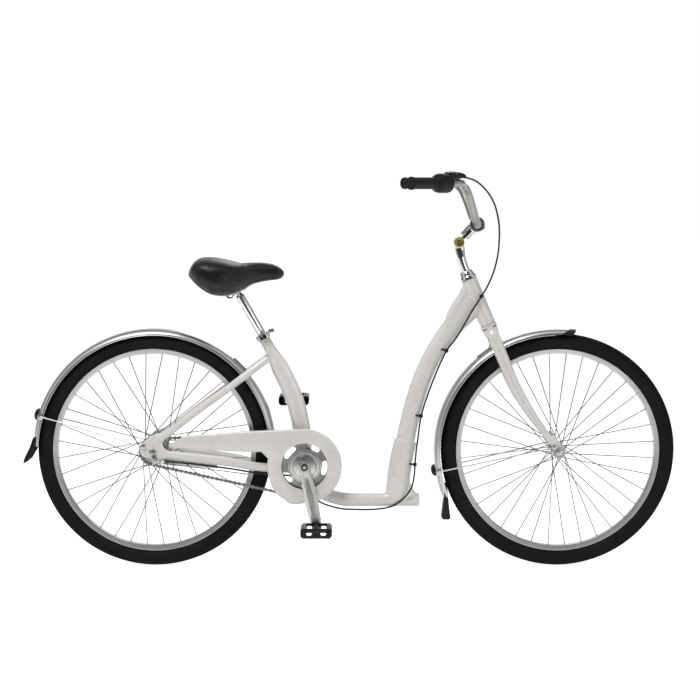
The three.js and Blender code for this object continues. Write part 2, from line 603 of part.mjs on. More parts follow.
// Axles with their cones, nuts and washers
const nut = { radius: 9.5, height: 9, washerRadius: 11, washerThick: 2 };
const axleTails = { rightLength: 84, leftLength: 78, frontLength: 68 };
function axleWithNuts(axle, hubEnds, plateInner, plateThick, tails) {
  const parts = [drum(axle, axleRadius, -tails[0], tails[1], 8)];
  [-1, 1].forEach((side, i) => {
    const cone = [side * (hubEnds[i] + seam), side * (plateInner - seam)];
    parts.push(drum(axle, axleRadius * 1.7, ...ordered(...cone), 8));
    const outside = plateInner + plateThick + seam;
    parts.push(drum(axle, nut.washerRadius, ...ordered(side * outside, side * (outside + nut.washerThick)), 10));
    const base = outside + nut.washerThick - overlap / 2;
    parts.push(drum(axle, nut.radius, ...ordered(side * base, side * (base + nut.height)), 6));
  });
  return join(...parts);
}

const driver = { innerWidth: 38.6, outerWidth: 50, radius: 16 };
const dustCap = { radius: 29, thick: 2.5 };
function buildAxles() {
  const rear = axleWithNuts(rearAxle, [driver.outerWidth + dustCap.thick, rearHub.leftWidth], stay.dropoutInner,
    stay.dropoutThick, [axleTails.rightLength, axleTails.leftLength]);
  add('rear_axle', rear, steel);
  const front = axleWithNuts(frontAxle, [frontHub.endWidth, frontHub.endWidth], fork.tipInner, fork.tipThick,
    [axleTails.frontLength, axleTails.frontLength]);
  add('front_axle', front, steel);
}

// Teeth: a gullet under each chain pin and a pointed tip between two pins
const roller = { radius: 3.88, half: 2.3, sides: 4 };
const tooth = { tipHeight: 4, gulletHalf: 2.7, half: 1.3 };
function toothedOutline(teeth, pitchRadius, pinAngle) {
  const shape = new THREE.Shape();
  const pitchAngle = turn / teeth;
  const corner = (angle, radius, offset) => {
    const place = angle + offset / radius;
    return [radius * Math.cos(place), radius * Math.sin(place)];
  };
  const gullet = pitchRadius - roller.radius - seam;
  for (let i = 0; i < teeth; i++) {
    const pin = pinAngle + i * pitchAngle;
    const points = [corner(pin, gullet, -tooth.gulletHalf), corner(pin, gullet, tooth.gulletHalf),
      corner(pin + pitchAngle / 2, pitchRadius + tooth.tipHeight, 0)];
    points.forEach(([x, z], k) => (i || k ? shape.lineTo(x, z) : shape.moveTo(x, z)));
  }
  shape.closePath();
  return shape;
}

// Where the chain runs: unit vectors along and across the line from the rear axle to the bracket
const chainAlong = bracket.clone().sub(rearAxle).normalize();
const chainUp = chainAlong.clone().cross(across).negate();
const chainTilt = Math.atan2(chainAlong.z, chainAlong.x);

function chainPins() {
  const pins = [];
  const place = (centre, radius, angle) => centre.clone()
    .addScaledVector(chainAlong, radius * Math.cos(angle)).addScaledVector(chainUp, radius * Math.sin(angle));
  for (let i = 0; i < ringWrapLinks; i++) pins.push(place(bracket, ringPitchRadius, ringWrap - i * turn / ringTeeth));
  const [lowerRing, lowerSprocket] = [place(bracket, ringPitchRadius, -ringWrap),
    place(rearAxle, sprocketPitchRadius, Math.PI + sprocketWrap)];
  for (let i = 0; i < runLinks; i++) pins.push(lowerRing.clone().lerp(lowerSprocket, i / runLinks));
  for (let i = 0; i < sprocketWrapLinks; i++) {
    pins.push(place(rearAxle, sprocketPitchRadius, Math.PI + sprocketWrap - i * turn / sprocketTeeth));
  }
  const [upperSprocket, upperRing] = [place(rearAxle, sprocketPitchRadius, Math.PI - sprocketWrap),
    place(bracket, ringPitchRadius, ringWrap)];
  for (let i = 0; i < runLinks; i++) pins.push(upperSprocket.clone().lerp(upperRing, i / runLinks));
  return pins;
}

// The chain: two rows of waisted plates, alternately inside and outside, held apart by rollers
const plates = { innerWidth: 1.65, stepThick: 1, thick: 1, halfHeight: 4.3, waistHeight: 3 };
function buildChain() {
  const pins = chainPins();
  const radial = pins.map((pin, i) => {
    const along = pins[(i + 1) % pins.length].clone().sub(pins.at(i - 1)).normalize();
    return along.cross(across).normalize();
  });
  const row = (side) => {
    const rings = [];
    pins.forEach((pin, i) => {
      const next = (i + 1) % pins.length;
      const shift = i % 2 ? plates.stepThick : 0;
      rings.push(plateSection(pin, radial[i], side, plates.innerWidth, plates.stepThick + plates.thick, plates.halfHeight));
      rings.push(plateSection(pin.clone().lerp(pins[next], 1 / 2), radial[i].clone().lerp(radial[next], 1 / 2).normalize(),
        side, plates.innerWidth + shift, plates.thick, plates.waistHeight));
    });
    return skin(rings, true);
  };
  let chain = join(row(-1), row(1));
  pins.forEach((pin, i) => {
    const along = radial[i].clone().cross(across);
    const corners = Array.from({ length: roller.sides }, (_, k) => pin.clone()
      .addScaledVector(along, roller.radius * Math.sin(k * turn / roller.sides))
      .addScaledVector(radial[i], roller.radius * Math.cos(k * turn / roller.sides)));
    const ends = [-1, 1].map((side) => corners.map((p) => from(p, 0, -chainLineOffset + side * roller.half, 0)));
    chain = chain.add(skin(ends));
  });
  add('chain', chain, darkSteel);
}

function plateSection(centre, radial, side, inner, thick, half) {
  const corners = [[inner, -half], [inner + thick, -half], [inner + thick, half], [inner, half]];
  return corners.map(([place, height]) => centre.clone().addScaledVector(radial, height)
    .add(at(0, -chainLineOffset + side * place, 0)));
}

function buildSprocket() {
  const shape = toothedOutline(sprocketTeeth, sprocketPitchRadius, chainTilt + Math.PI);
  const teeth = plate(moved(shape, rearAxle), -chainLineOffset - tooth.half, -chainLineOffset + tooth.half, 1);
  const body = drum(rearAxle, driver.radius, -driver.outerWidth, -driver.innerWidth, 16);
  const cap = drum(rearAxle, dustCap.radius, -driver.outerWidth - dustCap.thick, -driver.outerWidth + seam, 20);
  const bore = boredAcross(rearAxle, axleRadius + runningGap, -shellHalf * 3, 0, 12);
  add('rear_sprocket', cut(join(teeth, body, cap), bore), darkSteel);
}

// The same outline shifted to a centre in the bike's plane
function moved(shape, centre) {
  const points = shape.getPoints(1).map((p) => new THREE.Vector2(p.x + centre.x, p.y + centre.z));
  return new THREE.Shape(points);
}

// Cranks
const boss = {
  radius: 46, stepRadius: 39, ringRadius: 30, hubRadius: 16, plateThick: 3, stepThick: 6, hubGap: 8,
};
const arm = {
  innerWidth: 64, outerWidth: 80, flareWidth: 4, topHeight: 14.5, bellyHeight: 18, eyeHeight: 16, socketDepth: 13,
  grooveDepth: 4, grooveHeight: 10,
};
const pedalAxleLength = 96;
const windowCount = 5;
const ring = { windowInnerRadius: 49, windowOuterRadius: 62, windowDegrees: 34, startDegrees: -6 };

function buildChainwheel() {
  const shape = toothedOutline(ringTeeth, ringPitchRadius, chainTilt);
  const points = shape.getPoints(1);
  const disc = new THREE.Shape(points);
  for (let i = 0; i < windowCount; i++) {
    const middle = radians(ring.startDegrees) + i * turn / windowCount;
    const corners = [[-1, -0.6], [-0.4, -1], [0.4, -1], [1, -0.6], [1, 0.6], [0.4, 1], [-0.4, 1], [-1, 0.6]];
    disc.holes.push(new THREE.Path(corners.map(([far, out]) => {
      const angle = middle + far * radians(ring.windowDegrees) / 2;
      const { windowInnerRadius: low, windowOuterRadius: high } = ring;
      const radius = (low + high) / 2 + out * (high - low) / 2;
      return new THREE.Vector2(radius * Math.cos(angle), radius * Math.sin(angle));
    })));
  }
  const geometry = new THREE.ExtrudeGeometry(disc, { depth: tooth.half * 2, bevelEnabled: false, curveSegments: 1 });
  geometry.rotateX(Math.PI / 2);
  const wheel = solid(geometry.translate(bracket.x, -chainLineOffset + tooth.half, bracket.z));
  add('chainwheel', cut(wheel, boredAcross(bracket, boss.ringRadius + seam, -shellHalf * 2, 0, 16)), darkSteel);
}

// Direction of one crank, and the arm built straight down it
const crankWay = (side) => at(Math.sin(radians(crankLean)), 0, -Math.cos(radians(crankLean))).multiplyScalar(-side);
function crankArm(side) {
  const way = crankWay(side);
  const sideways = way.clone().cross(across);
  const { topHeight, bellyHeight, eyeHeight } = arm;
  const stops = [[-0.09, topHeight * 0.59], [-0.05, topHeight * 0.86], [0, topHeight], [0.35, bellyHeight * 0.94],
    [0.6, bellyHeight], [0.9, eyeHeight], [1.04, eyeHeight * 0.75], [1.09, eyeHeight * 0.44]];
  const rings = stops.map(([share, half]) => {
    const centre = bracket.clone().addScaledVector(way, share * crankLength);
    const shift = Math.max(0, share) * arm.flareWidth;
    const [inner, outer] = [side * (arm.innerWidth + shift), side * (arm.outerWidth + shift)];
    const profile = [[-half, inner], [half, inner], [half, (inner * 0.3 + outer * 0.7)], [half * 0.7, outer],
      [-half * 0.7, outer], [-half, (inner * 0.3 + outer * 0.7)]];
    return profile.map(([place, y]) => centre.clone().addScaledVector(sideways, place).add(at(0, y, 0)));
  });
  return skin(rings);
}

// The arch-shaped hollow forged into the arm's outer face
function armHollow(side) {
  const way = crankWay(side);
  const sideways = way.clone().cross(across);
  const stops = [[0.17, 0.15], [0.24, 0.6], [0.34, 0.9], [0.5, 1], [0.66, 0.85]];
  const rings = stops.map(([share, halfShare], i) => {
    const half = halfShare * arm.grooveHeight;
    const centre = bracket.clone().addScaledVector(way, share * crankLength);
    const face = side * (arm.outerWidth + share * arm.flareWidth);
    const deep = face - side * arm.grooveDepth * [0.3, 0.8, 1, 0.9, 0.05][i];
    return [[-half, face + side * overrun], [half, face + side * overrun], [half * 0.6, deep], [-half * 0.6, deep]]
      .map(([place, y]) => centre.clone().addScaledVector(sideways, place).add(at(0, y, 0)));
  });
  return skin(rings);
}

const pedalCentre = (side) => bracket.clone().addScaledVector(crankWay(side), crankLength);
function buildCranks() {
  for (const [name, side] of [['right_crank', -1], ['left_crank', 1]]) {
    const eye = pedalCentre(side);
    const parts = [crankArm(side)];
    const tail = side * (arm.outerWidth + arm.flareWidth + pedalAxleLength);
    parts.push(drum(eye, axleRadius, ...ordered(side * arm.outerWidth, tail), 10));
    parts.push(drum(bracket, boss.hubRadius, ...ordered(side * (shellHalf + boss.hubGap),
      side * (arm.innerWidth + overlap)), 16));
    if (side < 0) {
      const face = -chainLineOffset - tooth.half - seam;
      parts.push(drum(bracket, boss.radius, face - boss.plateThick, face, 20));
      parts.push(drum(bracket, boss.stepRadius, face - boss.stepThick, face - boss.plateThick + overlap, 16));
      parts.push(drum(bracket, boss.ringRadius, -arm.innerWidth - overlap, -chainLineOffset + tooth.half, 16));
    }
    const socket = boredAcross(bracket, spindleRadius + seam, ...ordered(0, side * (arm.innerWidth + arm.socketDepth)), 12);
    add(name, cut(join(...parts), armHollow(side), socket), alloy);
  }
  const half = arm.innerWidth + arm.socketDepth - seam;
  add('crank_spindle', drum(bracket, spindleRadius, -half, half, 14), steel);
}

// Pedals: two end plates and two tread bars round a barrel, open above and below
const pedal = {
  length: 86, height: 27, nearGap: 7, width: 92, wall: 5, barrelRadius: 11, barWidth: 15, windowHeight: 12,
  cornerLength: 6, windowCorner: 3, barCorner: 1, barWall: 3, capThick: 2, windowWall: 1,
};
function buildPedals() {
  for (const [name, side] of [['right_pedal', -1], ['left_pedal', 1]]) {
    const centre = pedalCentre(side);
    const start = side * (arm.outerWidth + arm.flareWidth + pedal.nearGap);
    const end = start + side * pedal.width;
    const [low, high] = ordered(start, end);
    const rim = roundedBox(centre, pedal.length / 2, pedal.height / 2, pedal.cornerLength);
    const { x, z } = centre;
    const [open, tall] = [pedal.length / 2 - pedal.barWidth, pedal.height];
    const inside = roundedBox(centre, open, tall, seam);
    const body = cut(plate(rim, low, high, 2), plate(inside, low + pedal.wall, high - pedal.wall, 1));
    const windows = [-1, 1].map((way) => {
      const middle = x + way * (pedal.barrelRadius + open) / 2;
      const half = (open - pedal.barrelRadius) / 2 - pedal.windowWall;
      return plate(roundedBox(at(middle, 0, z), half, pedal.windowHeight / 2, pedal.windowCorner), low - overrun, high + overrun, 1);
    });
    const hollowBars = [-1, 1].map((way) => {
      const middle = x + way * (pedal.length / 2 - pedal.barWidth / 2);
      const shape = roundedBox(at(middle, 0, z), pedal.barWidth / 2 - pedal.barWall, pedal.height / 2 - pedal.barWall - overlap,
        pedal.barCorner);
      return plate(shape, ...ordered(start - side * overrun, end - side * pedal.wall), 1);
    });
    const barrel = drum(centre, pedal.barrelRadius, low + overlap, high - overlap, 12);
    const bore = boredAcross(centre, axleRadius + runningGap, ...ordered(start - side * overrun, end - side * pedal.capThick), 10);
    add(name, cut(join(cut(body, ...windows), barrel), bore, ...hollowBars), blackPlastic);
  }
}

function roundedBox(centre, halfX, halfZ, corner) {
  const shape = new THREE.Shape();
  const [x, z] = [centre.x, centre.z];
  shape.moveTo(x - halfX + corner, z - halfZ);
  shape.lineTo(x + halfX - corner, z - halfZ);
  shape.lineTo(x + halfX, z - halfZ + corner);
  shape.lineTo(x + halfX, z + halfZ - corner);
  shape.lineTo(x + halfX - corner, z + halfZ);
  shape.lineTo(x - halfX + corner, z + halfZ);
  shape.lineTo(x - halfX, z + halfZ - corner);
  shape.lineTo(x - halfX, z - halfZ + corner);
  shape.closePath();
  return shape;
}

// Chain guard: a shell with a round front, a window over the chainwheel and a tapered tail
const guard = {
  faceWidth: 60, depth: 17.2, wall: 1.6, radius: 104, windowRadius: 64.5, tailLength: 44, tailTopLength: 82,
  tailTopHeight: 44.5, tailLowHeight: 11.5, waistLength: 246, topDrop: 6, heelLength: 120.3, heelHeight: 40,
  gateHeight: 22, gateSideHeight: 30, gateLength: 58, flangeLength: 200, flangeGap: 6, tabLength: 76, tabDepth: 2.5,
  tabRadius: 2.4, tabDrop: 6.4,
};
function guardOutline(inset) {
  const shape = new THREE.Shape();
  const { x, z } = bracket;
  const low = rearAxle.z + guard.tailLowHeight + inset;
  const high = rearAxle.z + guard.tailTopHeight - inset;
  shape.absarc(x, z, guard.radius - inset, Math.PI / 2, radians(168), true);
  shape.lineTo(x - guard.heelLength, z + guard.heelHeight + inset);
  shape.lineTo(guard.tailLength + inset, low);
  shape.lineTo(guard.tailTopLength + inset, high);
  shape.lineTo(guard.waistLength, z + guard.radius - guard.topDrop - inset);
  shape.closePath();
  return shape;
}

function buildChainGuard() {
  const { faceWidth, wall, gateLength, radius, tabLength } = guard;
  const back = guard.depth - faceWidth;
  const shell = plate(guardOutline(0), -faceWidth, back, 10);
  const inside = plate(guardOutline(wall), -faceWidth + wall, back + overrun, 10);
  const opening = drum(bracket, guard.windowRadius, -faceWidth - overrun, -faceWidth + wall + overlap, 30);
  const { x, z } = bracket;
  const outside = radius + overrun;
  const gate = boxed([[x - outside, z - guard.gateHeight], [x - gateLength, z - guard.gateSideHeight],
    [x - gateLength / 2, z - outside], [x - outside, z - outside]], -faceWidth + wall, 0);
  const low = rearAxle.z + guard.tailLowHeight;
  const step = low + guard.flangeGap;
  const high = rearAxle.z + guard.tailTopHeight;
  const tail = boxed([[0, step], [guard.tailTopLength, step], [guard.flangeLength, high - overlap * 2],
    [guard.flangeLength, z + outside], [0, z + outside]], -faceWidth + wall, 0);
  const tabSpot = (height) => at(tabLength, guard.tabDepth - faceWidth, low + height);
  const tab = rod(tabSpot(overlap * 2), tabSpot(-guard.tabDrop), guard.tabRadius, 6);
  add('chain_guard', join(cut(shell, inside, opening, gate, tail), tab), paint);
}

// A cutter with straight sides from corners in the bike's plane
function boxed(corners, low, high) {
  return plate(new THREE.Shape(corners.map(([x, z]) => new THREE.Vector2(x, z))), low, high, 1);
}

// The guard's steel bracket: a ring under the right cup with two arms to the guard's rim
const hanger = {
  ringRadius: 24, thick: 1.6, armWidth: 8, rimGap: 1.4, footLength: 10, lowDegrees: 20, highDegrees: 78,
};
function buildGuardBracket() {
  const inner = -shellHalf - seam * 2 - cup.flangeThick;
  const outer = inner - hanger.thick;
  const reach = guard.radius - guard.wall - hanger.rimGap;
  const ringPart = drum(bracket, hanger.ringRadius, outer, inner, 20);
  const arms = [hanger.lowDegrees, hanger.highDegrees].map((degrees) => {
    const way = at(Math.cos(radians(degrees)), 0, Math.sin(radians(degrees)));
    const sideways = way.clone().cross(across);
    const rings = [0, reach].map((far) => [[-1, inner], [1, inner], [1, outer], [-1, outer]].map(([place, y]) =>
      bracket.clone().addScaledVector(way, far).addScaledVector(sideways, place * hanger.armWidth).add(at(0, y, 0))));
    const foot = [reach - hanger.thick, reach].map((far) => [[-1, inner], [1, inner], [1, inner - hanger.footLength],
      [-1, inner - hanger.footLength]].map(([place, y]) => bracket.clone().addScaledVector(way, far)
        .addScaledVector(sideways, place * hanger.armWidth).add(at(0, y, 0))));
    return join(skin(rings), skin(foot));
  });
  const hole = boredAcross(bracket, boss.hubRadius + overlap, -shellHalf * 3, 0, 16);
  add('guard_bracket', cut(join(ringPart, ...arms), hole), steel);
}

// Mudguards: a rolled crown with skirts, swept round the wheel
const mudguard = {
  tyreGap: 14.5, halfWidth: 29, skirtDepth: 19, wall: 1.2, frontRise: 8, sides: 5, rearStations: 20,
  frontStations: 12,
};
const guardRadius = tyreRadius + mudguard.tyreGap;
function mudguardSection() {
  const outer = [];
  for (let i = 0; i <= mudguard.sides; i++) {
    const angle = Math.PI * (i / mudguard.sides - 1 / 2);
    outer.push([mudguard.skirtDepth * (Math.cos(angle) - 1) * 0.95, mudguard.halfWidth * Math.sin(angle)]);
  }
  const inShare = 1 - mudguard.wall / mudguard.halfWidth;
  const inner = outer.map(([deep, side]) => [deep - mudguard.wall, side * inShare]).reverse();
  return [...outer, ...inner];
}

function arcSweep(axle, start, end, stations, section, grow = () => 0) {
  const rings = [];
  for (let i = 0; i <= stations; i++) {
    const share = i / stations;
    const angle = radians(start + (end - start) * share);
    const radius = guardRadius + grow(share);
    rings.push(section(share).map(([deep, side]) =>
      from(axle, (radius + deep) * Math.cos(angle), side, (radius + deep) * Math.sin(angle))));
  }
  return skin(rings);
}

const rearGuardDegrees = [-3, 178];
const frontGuardDegrees = [82, 203];
function buildMudguards() {
  const { rearStations, frontStations, frontRise } = mudguard;
  const rear = arcSweep(rearAxle, ...rearGuardDegrees, rearStations, mudguardSection);
  const front = arcSweep(frontAxle, ...frontGuardDegrees, frontStations, mudguardSection, (share) => frontRise * share);
  add('rear_mudguard', rear, guardMetal);
  add('front_mudguard', front, guardMetal);
}

// Rubber flaps under the mudguards' lower ends
const flap = {
  thick: 3, dropLength: 62, tuckLength: 8, halfWidth: 27, rearKick: 22, frontKick: -3, seatGap: 0.95,
};
function flapSolid(axle, end, rise, kick) {
  const angle = radians(end);
  const out = at(Math.cos(angle), 0, Math.sin(angle));
  const down = at(-Math.sin(angle), 0, Math.cos(angle));
  const top = axle.clone().addScaledVector(out, guardRadius + rise + flap.seatGap);
  const stops = [[-flap.tuckLength, 0, 1], [0, 0, 1], [flap.dropLength / 2, kick * 0.45, 1.02],
    [flap.dropLength, kick, 0.8]];
  const bow = [[-1, 0.5], [-0.55, 0.08], [0.55, 0.08], [1, 0.5]];
  const rings = stops.map(([far, away, share]) => {
    const middle = top.clone().addScaledVector(down, far).addScaledVector(out, away);
    const edge = (lift) => bow.map(([place, deep]) => middle.clone()
      .addScaledVector(out, lift - mudguard.skirtDepth * deep).add(at(0, place * flap.halfWidth * share, 0)));
    return [...edge(flap.thick), ...edge(0).reverse()];
  });
  return skin(rings);
}

function buildFlaps() {
  add('rear_flap', flapSolid(rearAxle, rearGuardDegrees[1], 0, flap.rearKick), rubber);
  add('front_flap', flapSolid(frontAxle, frontGuardDegrees[1], mudguard.frontRise, flap.frontKick), rubber);
}

// Wire braces from the dropouts to plugs on the mudguards' skirts
const brace = {
  radius: 2, sides: 4, eyeRadius: 7, plugRadius: 9, plugThick: 5, rearDegrees: 163, frontDegrees: 190,
  rearFootLength: 26, rearFootHeight: 17, frontFootLength: 14, frontFootHeight: 14,
};
const braceSide = mudguard.halfWidth + brace.plugThick + seam;
function braceSolid(axle, angle, rise, foot, footSide, side) {
  const far = guardRadius + rise - mudguard.skirtDepth * 0.6;
  const start = at(foot.x, side * footSide, foot.z);
  const end = from(axle, far * Math.cos(radians(angle)), side * braceSide, far * Math.sin(radians(angle)));
  const plug = rod(end, from(end, 0, -side * brace.plugThick, 0), brace.plugRadius, 8);
  const eye = rod(from(start, 0, -brace.radius, 0), from(start, 0, brace.radius, 0), brace.eyeRadius, 8);
  return join(rod(start, end, brace.radius, brace.sides), plug, eye);
}

function buildBraces() {
  const rearFoot = from(rearAxle, -brace.rearFootLength, 0, brace.rearFootHeight);
  const frontFoot = from(frontAxle, -brace.frontFootLength, 0, brace.frontFootHeight);
  const rearSide = stay.dropoutInner + stay.dropoutThick + brace.radius + seam * 4;
  const frontSide = tipSide + fork.tipWidth + brace.radius;
  const frontRise = mudguard.frontRise * 0.9;
  for (const [name, side] of [['right', -1], ['left', 1]]) {
    const rear = braceSolid(rearAxle, brace.rearDegrees, 0, rearFoot, rearSide, side);
    const front = braceSolid(frontAxle, brace.frontDegrees, frontRise, frontFoot, frontSide, side);
    add(`${name}_rear_brace`, rear, steel);
    add(`${name}_front_brace`, front, steel);
  }
}

// Brackets that hold the mudguards' middles: at the seat stay bridge and at the fork crown
const strap = {
  halfWidth: 9, thick: 2.5, rearEndDegrees: 9.9, rearBendDegrees: 2.9, frontEndDegrees: 131, frontBendDegrees: 124,
  rearTipLength: 5, frontTipLength: 3, bendHeight: 12, reach: 40,
};
function strapSolid(line) {
  const rings = line.map(([point, normal]) => [-1, 1].flatMap((way) => [way, -way].map((side) =>
    point.clone().addScaledVector(normal, way * strap.thick / 2).add(at(0, side * strap.halfWidth, 0)))));
  return skin(rings);
}

function buildBrackets() {
  const lift = strap.thick / 2 - seam;
  const onGuard = (axle, degrees, rise) => {
    const out = at(Math.cos(radians(degrees)), 0, Math.sin(radians(degrees)));
    return [axle.clone().addScaledVector(out, guardRadius + rise + lift), out];
  };
  const spot = bridgeSpot();
  const bridgeDegrees = THREE.MathUtils.radToDeg(Math.atan2(spot.z - rearAxle.z, spot.x - rearAxle.x));
  const bend = onGuard(rearAxle, bridgeDegrees + strap.rearBendDegrees, 0)[0];
  const rearLine = [onGuard(rearAxle, bridgeDegrees + strap.rearEndDegrees, 0), [bend, at(0.35, 0, 0.93)],
    [from(spot, -strap.rearTipLength, 0, -overlap), at(0, 0, 1)]];
  const bridgeRoom = bored(from(spot, 0, -strap.reach, 0), from(spot, 0, strap.reach, 0), bridge.radius + seam, 10);
  add('rear_mudguard_bracket', cut(strapSolid(rearLine), bridgeRoom), steel);
  const [first, last] = frontGuardDegrees;
  const rise = (degrees) => mudguard.frontRise * (degrees - first) / (last - first);
  const { frontEndDegrees, frontBendDegrees } = strap;
  const turnUp = onGuard(frontAxle, frontBendDegrees, rise(frontBendDegrees))[0];
  const frontLine = [onGuard(frontAxle, frontEndDegrees, rise(frontEndDegrees)), [turnUp, at(-0.82, 0, 0.57)],
    [from(turnUp, strap.frontTipLength, 0, strap.bendHeight), at(-1, 0, 0.1)],
    [at(turnUp.x + strap.frontTipLength, 0, onSteer(fork.barDrop).z), at(-1, 0, 0)]];
  const barRoom = crownBar(fork.barRadius + seam);
  const neckRoom = rod(onSteer(fork.crownTop), onSteer(fork.crownTop + fork.crownHeight + seam),
    fork.crownRadius + seam, 12);
  add('front_mudguard_bracket', cut(strapSolid(frontLine), barRoom, neckRoom), steel);
}

// Coaster brake arm, clipped to the left chain stay
const brakeArm = { length: 170, thick: 3, innerWidth: 52, lugRadius: 20 };
function buildBrakeArm() {
  const shape = outlined(rearAxle, brakeArm.length, [[-0.1, 0.0235], [-0.0235, -0.106], [0.129, -0.2], [1, -0.306],
    [1, -0.365], [0.118, -0.306], [-0.082, -0.141]]);
  const [low, high] = [brakeArm.innerWidth, brakeArm.innerWidth + brakeArm.thick];
  const blade = join(plate(shape, low, high, 1), drum(rearAxle, brakeArm.lugRadius, low, high, 14));
  add('brake_arm', cut(blade, boredAcross(rearAxle, axleRadius * 1.7 + seam, 0, stay.dropoutInner, 12)), steel);
}

// Shift bracket and bell crank outside the right dropout
const shiftUnit = {
  innerWidth: 75.9, thick: 3, pivotLength: 8, pivotDrop: 20, barRadius: 8, eyeRadius: 9, pinRadius: 3, pinLength: 6,
  tubeRadius: 5, tubeLength: 14, tubeBack: 16, tubeDrop: 28.5, tubeRise: 4.5, tubeSide: 71, leverRadius: 7,
  leverThick: 5, hookLength: 7, hookDrop: 13, hookRadius: 2.4,
};
const leverPivot = () => from(rearAxle, shiftUnit.pivotLength, 0, -shiftUnit.pivotDrop);
function buildShiftUnit() {
  const pivot = leverPivot();
  const { innerWidth, thick, eyeRadius, pinRadius, pinLength, tubeBack, tubeDrop, leverThick } = shiftUnit;
  const [low, high] = [-innerWidth - thick, -innerWidth];
  const middle = (low + high) / 2;
  const bar = rod(at(rearAxle.x, middle, rearAxle.z), at(pivot.x, middle, pivot.z), shiftUnit.barRadius, 4);
  const flatBar = bar.intersect(drum(rearAxle, tubeDrop * 2, low, high, 12));
  const tubeStart = at(rearAxle.x + tubeBack, middle, rearAxle.z - tubeDrop);
  const tubeEnd = at(tubeStart.x + shiftUnit.tubeLength, -shiftUnit.tubeSide, tubeStart.z + shiftUnit.tubeRise);
  const body = join(drum(rearAxle, eyeRadius, low, high, 14), flatBar, drum(pivot, eyeRadius, low, high, 14),
    drum(pivot, pinRadius, low - pinLength, high, 8), rod(tubeStart, tubeEnd, shiftUnit.tubeRadius, 8));
  add('shift_bracket', cut(body, boredAcross(rearAxle, axleRadius + seam, low - overrun, 0, 12)), alloy);
  const hookSide = low - leverThick / 2;
  const lever = join(drum(pivot, shiftUnit.leverRadius, low - leverThick, low - seam, 12),
    rod(at(pivot.x, hookSide, pivot.z),
      at(pivot.x - shiftUnit.hookLength, hookSide, pivot.z - shiftUnit.hookDrop), shiftUnit.hookRadius, 6));
  const hole = boredAcross(pivot, pinRadius + runningGap, low - leverThick - overrun, high, 8);
  add('shift_lever', cut(lever, hole), steel);
}

// Seat post, clamp and quick release
const clampRing = {
  radius: 20, height: 14, topGap: 1, earLength: 8, earRadius: 7, earSide: 4, slotHalf: 1, slotHeight: 14, boltSide: 5,
  boltRadius: 2.5, nutRadius: 6, nutThick: 8, boltTail: 2, camRadius: 6.5, camHalf: 5, camAhead: 7, neckLength: 8,
  neckRadius: 4, leverLength: 9, leverRise: 14, leverReach: 47, leverRadius: 3.4, leverEndRadius: 4.6,
};
function buildSeatClamp() {
  const { radius, height, earLength, earRadius, boltRadius, nutThick, camHalf, camAhead, neckLength } = clampRing;
  const top = -clampRing.topGap;
  const low = top - height;
  const middle = (low + top) / 2;
  const earSide = -radius - clampRing.earSide;
  const boltSide = -radius - clampRing.boltSide;
  const spot = (up, ahead, side) => onSeat(middle + up, ahead, side);
  const ears = rod(spot(0, -earLength, earSide), spot(0, earLength, earSide), earRadius, 8);
  const slot = strapBox(spot(0, 0, boltSide - overlap), clampRing.slotHalf, clampRing.slotHeight, height);
  const bore = bored(onSeat(low - overrun), onSeat(top + overrun), seatTube.radius + seam, 14);
  const hole = bored(spot(0, -earLength * 4, boltSide), spot(0, earLength * 4, boltSide), boltRadius + seam, 8);
  const ringPart = rod(onSeat(low), onSeat(top), radius, 14);
  add('seat_clamp', cut(join(ringPart, ears), bore, slot, hole), blackPlastic);
  const behind = -earLength - nutThick;
  const skewer = join(
    rod(spot(0, behind - clampRing.boltTail, boltSide), spot(0, earLength + seam / 2, boltSide), boltRadius, 8),
    rod(spot(0, behind, boltSide), spot(0, -earLength - seam, boltSide), clampRing.nutRadius, 10),
  );
  add('clamp_skewer', skewer, alloy);
  const cam = (up, ahead, side) => spot(up, earLength + ahead, boltSide + side);
  const neckEnd = camAhead + neckLength;
  const barrel = rod(cam(-camHalf, camAhead, 0), cam(camHalf, camAhead, 0), clampRing.camRadius, 12);
  const neck = rod(cam(0, camAhead, 0), cam(0, neckEnd, overlap), clampRing.neckRadius, 8);
  const handle = rod(cam(0, neckEnd - overlap, overlap),
    cam(clampRing.leverRise, neckEnd - overlap + clampRing.leverLength, overlap + clampRing.leverReach),
    clampRing.leverRadius, 8, clampRing.leverEndRadius);
  add('quick_release_lever', join(barrel, neck, handle), alloy);
}

// A box turned with the seat axis
function strapBox(centre, halfAhead, halfSide, halfUp) {
  const rings = [-halfUp, halfUp].map((up) => [[-1, -1], [1, -1], [1, 1], [-1, 1]].map(([a, s]) =>
    centre.clone().addScaledVector(seatUp, up).addScaledVector(seatAhead, a * halfAhead).add(at(0, s * halfSide, 0))));
  return skin(rings);
}

const seatPostInsideLength = 110;
const saddleClamp = {
  halfWidth: 27, radius: 13, innerWidth: 9, barrelRadius: 12, neckRadius: 8, neckLength: 18, coneLength: 8, strapThick: 5,
  coneRadius: 9, riseLength: 14, capReach: 40,
};
const clampCentre = onSeat(seatPostShown + saddleClamp.riseLength);
function buildSeatPost() {
  const shoulder = seatPostShown - saddleClamp.neckLength;
  const coneEnd = shoulder + saddleClamp.coneLength;
  const post = join(rod(onSeat(-seatPostInsideLength), onSeat(shoulder), seatPostRadius, 14),
    rod(onSeat(shoulder), onSeat(coneEnd), seatPostRadius, 14, saddleClamp.coneRadius),
    rod(onSeat(shoulder - overlap), clampCentre, saddleClamp.neckRadius, 10),
    drum(clampCentre, saddleClamp.barrelRadius, -saddleClamp.innerWidth, saddleClamp.innerWidth, 12));
  add('seat_post', post, chrome);
}

